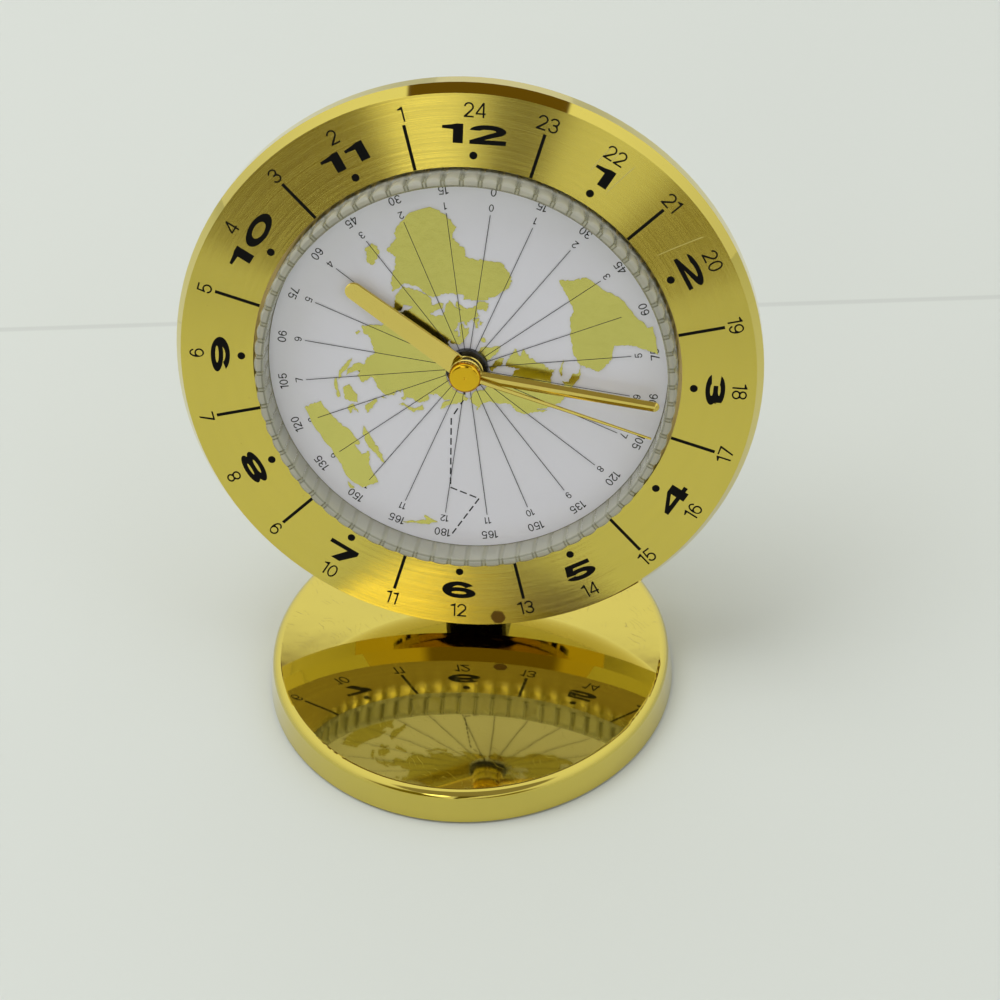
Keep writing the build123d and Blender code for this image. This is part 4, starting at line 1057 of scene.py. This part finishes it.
class CLOCK_OT_plastic(bpy.types.Operator):
    """Clear dish with its beads, and finishes of the moulded parts and the felt"""

    bl_idname = "clock.plastic"
    bl_label = "Plastic and felt"

    @staticmethod
    def dish(s, inner, crest):
        """Turned dish whose outer wall has grooves between beads."""
        back, front = back_of("map_dish"), front_of("map_dish")
        floor = front_of("map_disc") - s.map_thickness
        # Radius, height and share of the grooves' depth
        profile = (
            (s.bore, floor, 0), (inner - 0.3, floor, 0), (inner, floor + 0.3, 0), (inner, front - 0.45, 0),
            (inner + 0.08, front - 0.2, 0), (inner + 0.28, front - 0.04, 0), (inner + 0.5, front, 0),
            (crest - 0.62, front, 0), (crest - 0.40, front - 0.06, 0.1), (crest - 0.2, front - 0.22, 0.45),
            (crest - 0.05, front - 0.45, 0.9), (crest, front - 0.7, 1), (crest, 0.75, 1),
            (crest - 0.02, 0.45, 0.9), (crest, 0.3, 0), (crest, back, 0), (s.room, back, 0),
            (s.room, back + s.room_depth, 0), (s.bore, back + s.room_depth, 0))
        steps = s.beads * POINTS_PER_BEAD
        bm = bmesh.new()
        rings = []
        for radius, height, wave in profile:
            ring = []
            for k in range(steps):
                q = (k * s.beads / steps) % 1 * 2 - 1
                r = radius - wave * s.bead_depth * (0.55 * q * q + 0.45 * q ** 6)
                t = 2 * math.pi * k / steps
                ring.append(bm.verts.new((r * math.sin(t), r * math.cos(t), height)))
            rings.append(ring)
        bridge(bm, rings + rings[:1])
        return face_mesh(bm, "clear_dish")

    def execute(self, context):
        s = context.scene.clock_dish
        crest = (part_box("map_dish")[1].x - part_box("map_dish")[0].x) / 2 / MM
        inner = crest - s.wall
        finish = clear_plastic(s.beads, inner, crest)
        dish = make_piece("clear_dish", self.dish(s, inner, crest), "map_dial", finish, True)
        dish.data.set_sharp_from_angle(angle=math.radians(38))
        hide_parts("map_dish")
        dress(
            plain("case_plastic", (0.03, 0.03, 0.032), 0.45, 0.0, 0.3), "movement_front", "middle_plate",
            "movement_rear")
        dress(
            plain("cover_black", (0.016, 0.016, 0.017), 0.42, 0.0, 0.6, 5.0), "back_cover", "battery_door",
            "set_knob")
        dress(
            plain("wheel_plastic", (0.80, 0.78, 0.70), 0.4, 0.0, 0.1), "hour_wheel", "minute_wheel",
            "fifth_wheel")
        dress(plain("board_green", (0.02, 0.10, 0.03), 0.3), "circuit_board")
        dress(plain("coil_copper", (0.45, 0.16, 0.06), 0.35, 0.6, 0.4), "coil")
        dress(felt(), "foot_pad", "friction_washer")
        return {"FINISHED"}


# Seam in the floor, where it starts to rise: y in millimetres at x = 0, and its slope
SEAM_START, SEAM_SLOPE = 93.3, 0.1033

# Floor, in metres: half width, y of the front edge, depth and rise behind the seam
FLOOR_SIDE, FLOOR_FRONT, FLOOR_DEPTH, FLOOR_RISE = 2.0, -3.0, 2.4, 0.10

# Direction that the ring's face mirrors, and upright bright and dark things round it: clockwise bearing from
# the top and half width, in degrees, and colour
MIRRORED = Vector((-0.10, -0.985, -0.11)).normalized()
UPRIGHTS = (
    (350, 8, (1.08, 1.0584, 1.026)), (13, 8, (0.13, 0.1092, 0.0052)), (61, 13, (0.26, 0.2184, 0.0104)),
    (313, 25, (0.20, 0.168, 0.008)))

# Dark thing high in front, and a bright one lower and to the left
CANOPY = Vector((0.05, -0.55, 0.83)).normalized()
WINDOW = Vector((-0.209, -0.858, 0.47)).normalized()

# Lamp above the clock, not mirrored by it: place, aim and size in metres, power in watts
LAMP_PLACE, LAMP_AIM, LAMP_SIZE, LAMP_POWER = Vector((-0.35, 0.05, 0.9)), Vector((0, 0.01, 0.05)), 0.7, 3.0

# Camera: place in millimetres; yaw, pitch and roll in degrees
CAMERA_PLACE = Vector((40.20, -286.21, 303.98))
CAMERA_TURN = (-6.84, 42.70, -2.47)


class CLOCK_OT_stage(bpy.types.Operator):
    """Floor, light, surroundings and camera"""

    bl_idname = "clock.stage"
    bl_label = "Stage"

    @staticmethod
    def floor(scene, tone):
        """Level sheet that rises gently behind a seam, with a painted shade line along the seam."""
        nodes = material("floor_paper")
        point = nodes.point()
        grain = nodes.noise(point, 0.25, 3.0)
        slow = nodes.noise(point, 0.004, 2.0)
        x, y, _ = nodes.parts(point)
        seam = (y - x * SEAM_SLOPE - SEAM_START).maths("ABSOLUTE")
        tone = nodes.shades(slow, tone, 0.97, 1.02)
        # Painted shade: a thin dark line painted along the seam, where the floor starts to rise
        tone = nodes.mix((1 - seam.between(0.3, 0.9)) * 0.16, tone, (0.2, 0.2, 0.2))
        finish = nodes.surface(
            Base_Color=tone, Roughness=grain * 0.1 + 0.5, Normal=nodes.bump(grain, 0.03, 0.001))
        bm = bmesh.new()
        ends = [(x, SEAM_START * MM + SEAM_SLOPE * x) for x in (-FLOOR_SIDE, FLOOR_SIDE)]
        rows = (
            [bm.verts.new((x, FLOOR_FRONT, 0)) for x, _ in ends],
            [bm.verts.new((x, y, 0)) for x, y in ends],
            [bm.verts.new((x, y + FLOOR_DEPTH, FLOOR_RISE)) for x, y in ends])
        for (a, b), (c, d) in zip(rows, rows[1:]):
            bm.faces.new((a, b, d, c))
        mesh = bpy.data.meshes.new("floor")
        bm.to_mesh(mesh)
        bm.free()
        mesh.materials.append(finish)
        floor = bpy.data.objects.new("floor", mesh)
        scene.collection.objects.link(floor)

    @staticmethod
    def surroundings(scene):
        """Pale room with a few bright and dark things that the gold mirrors."""
        world = bpy.data.worlds.new("room")
        scene.world = world
        nodes = Nodes(world)
        direction = nodes.add("ShaderNodeTexCoord", output="Generated")
        x, y, z = nodes.parts(direction)
        sky = nodes.mix(z.between(-0.05, 0.85), (0.77, 0.79, 0.79), (1.04, 1.06, 1.07))
        across = MIRRORED.cross(Vector((0, 0, 1))).normalized()
        above = across.cross(MIRRORED)
        near = nodes.dot(direction, MIRRORED).between(0.62, 0.80)
        flat = nodes.join(nodes.dot(direction, -across), nodes.dot(direction, above), 0.0)
        flat = nodes.vectors("NORMALIZE", flat)
        for bearing, width, tint in UPRIGHTS:
            a = math.radians(bearing)
            inside = nodes.dot(flat, Vector((math.sin(a), math.cos(a), 0)))
            mask = inside.between(math.cos(math.radians(width + 3)), math.cos(math.radians(width - 3)))
            sky = nodes.mix(mask * near, sky, tint)
        sky = nodes.mix(nodes.dot(direction, CANOPY).between(0.85, 0.90) * 0.85, sky, (0.22, 0.18, 0.09))
        sky = nodes.mix(nodes.dot(direction, WINDOW).between(0.9925, 0.9969), sky, (3.2, 3.1, 2.7))
        # Dark panel overhead, behind
        level = z.maths("MAXIMUM", 0.01)
        side, back = x / level, y / level
        panel = side.inside(-0.47, -0.44, 0.47, 0.50) * back.inside(0.44, 0.50, 0.92, 0.97)
        sky = nodes.mix(panel, sky, (0.16, 0.10, 0.015))
        seen = nodes.add("ShaderNodeLightPath", output="Is Camera Ray")
        sky = nodes.mix(seen, sky, (0.66, 0.685, 0.655))
        light = nodes.add("ShaderNodeBackground", inputs={"Color": sky, "Strength": 1.0})
        nodes.add("ShaderNodeOutputWorld", inputs={"Surface": light})

    @staticmethod
    def lamp(scene):
        lamp = bpy.data.lights.new("key", "AREA")
        lamp.shape = "DISK"
        lamp.size = LAMP_SIZE
        lamp.energy = LAMP_POWER
        holder = bpy.data.objects.new("key", lamp)
        holder.location = LAMP_PLACE
        holder.rotation_mode = "QUATERNION"
        holder.rotation_quaternion = (LAMP_AIM - LAMP_PLACE).to_track_quat("-Z", "Y")
        holder.visible_glossy = False
        scene.collection.objects.link(holder)

    @staticmethod
    def camera(scene, focal_length):
        lens = bpy.data.cameras.new("camera")
        lens.sensor_width = 36
        lens.lens = focal_length
        lens.clip_start, lens.clip_end = 0.01, 20
        camera = bpy.data.objects.new("camera", lens)
        yaw, pitch, roll = (math.radians(a) for a in CAMERA_TURN)
        ahead = Vector((math.sin(yaw) * math.cos(pitch), math.cos(yaw) * math.cos(pitch), -math.sin(pitch)))
        side = Vector((math.cos(yaw), -math.sin(yaw), 0))
        up = side.cross(ahead)
        side, up = side * math.cos(roll) + up * math.sin(roll), up * math.cos(roll) - side * math.sin(roll)
        turn = Matrix((side, up, -ahead)).transposed().to_4x4()
        camera.matrix_world = Matrix.Translation(CAMERA_PLACE * MM) @ turn
        scene.collection.objects.link(camera)
        scene.camera = camera

    def execute(self, context):
        scene = context.scene
        self.floor(scene, scene.clock_stage.floor)
        self.surroundings(scene)
        self.lamp(scene)
        self.camera(scene, scene.clock_stage.lens)
        scene.view_settings.view_transform = "Standard"
        return {"FINISHED"}


class CLOCK_PT_panel(bpy.types.Panel):
    """Sizes, colours and steps of the clock"""

    bl_idname = "CLOCK_PT_panel"
    bl_label = "World time clock"
    bl_space_type = "VIEW_3D"
    bl_region_type = "UI"
    bl_category = "Clock"

    def draw(self, context):
        for operator in OPERATORS:
            self.layout.operator(operator.bl_idname)
        for name in SETTINGS:
            group = getattr(context.scene, name)
            box = self.layout.box()
            for key in group.bl_rna.properties.keys():
                if key not in ("rna_type", "name"):
                    box.prop(group, key)


SETTINGS = {
    "clock_ring_print": RingPrintSettings,
    "clock_map": MapSettings,
    "clock_dish": DishSettings,
    "clock_hands": HandSettings,
    "clock_finish": FinishSettings,
    "clock_stage": StageSettings,
}
OPERATORS = (
    CLOCK_OT_metal, CLOCK_OT_screw_heads, CLOCK_OT_plastic, CLOCK_OT_ring_print, CLOCK_OT_map_print,
    CLOCK_OT_hands, CLOCK_OT_stage)


def register():
    for group in SETTINGS.values():
        bpy.utils.register_class(group)
    for name, group in SETTINGS.items():
        setattr(bpy.types.Scene, name, bpy.props.PointerProperty(type=group))
    for shown in OPERATORS + (CLOCK_PT_panel,):
        bpy.utils.register_class(shown)


def unregister():
    for shown in reversed(OPERATORS + (CLOCK_PT_panel,)):
        bpy.utils.unregister_class(shown)
    for name, group in SETTINGS.items():
        delattr(bpy.types.Scene, name)
        bpy.utils.unregister_class(group)


def main():
    register()
    for operator in OPERATORS:
        group, name = operator.bl_idname.split(".")
        getattr(getattr(bpy.ops, group), name)()


if __name__ == "__main__":
    main()
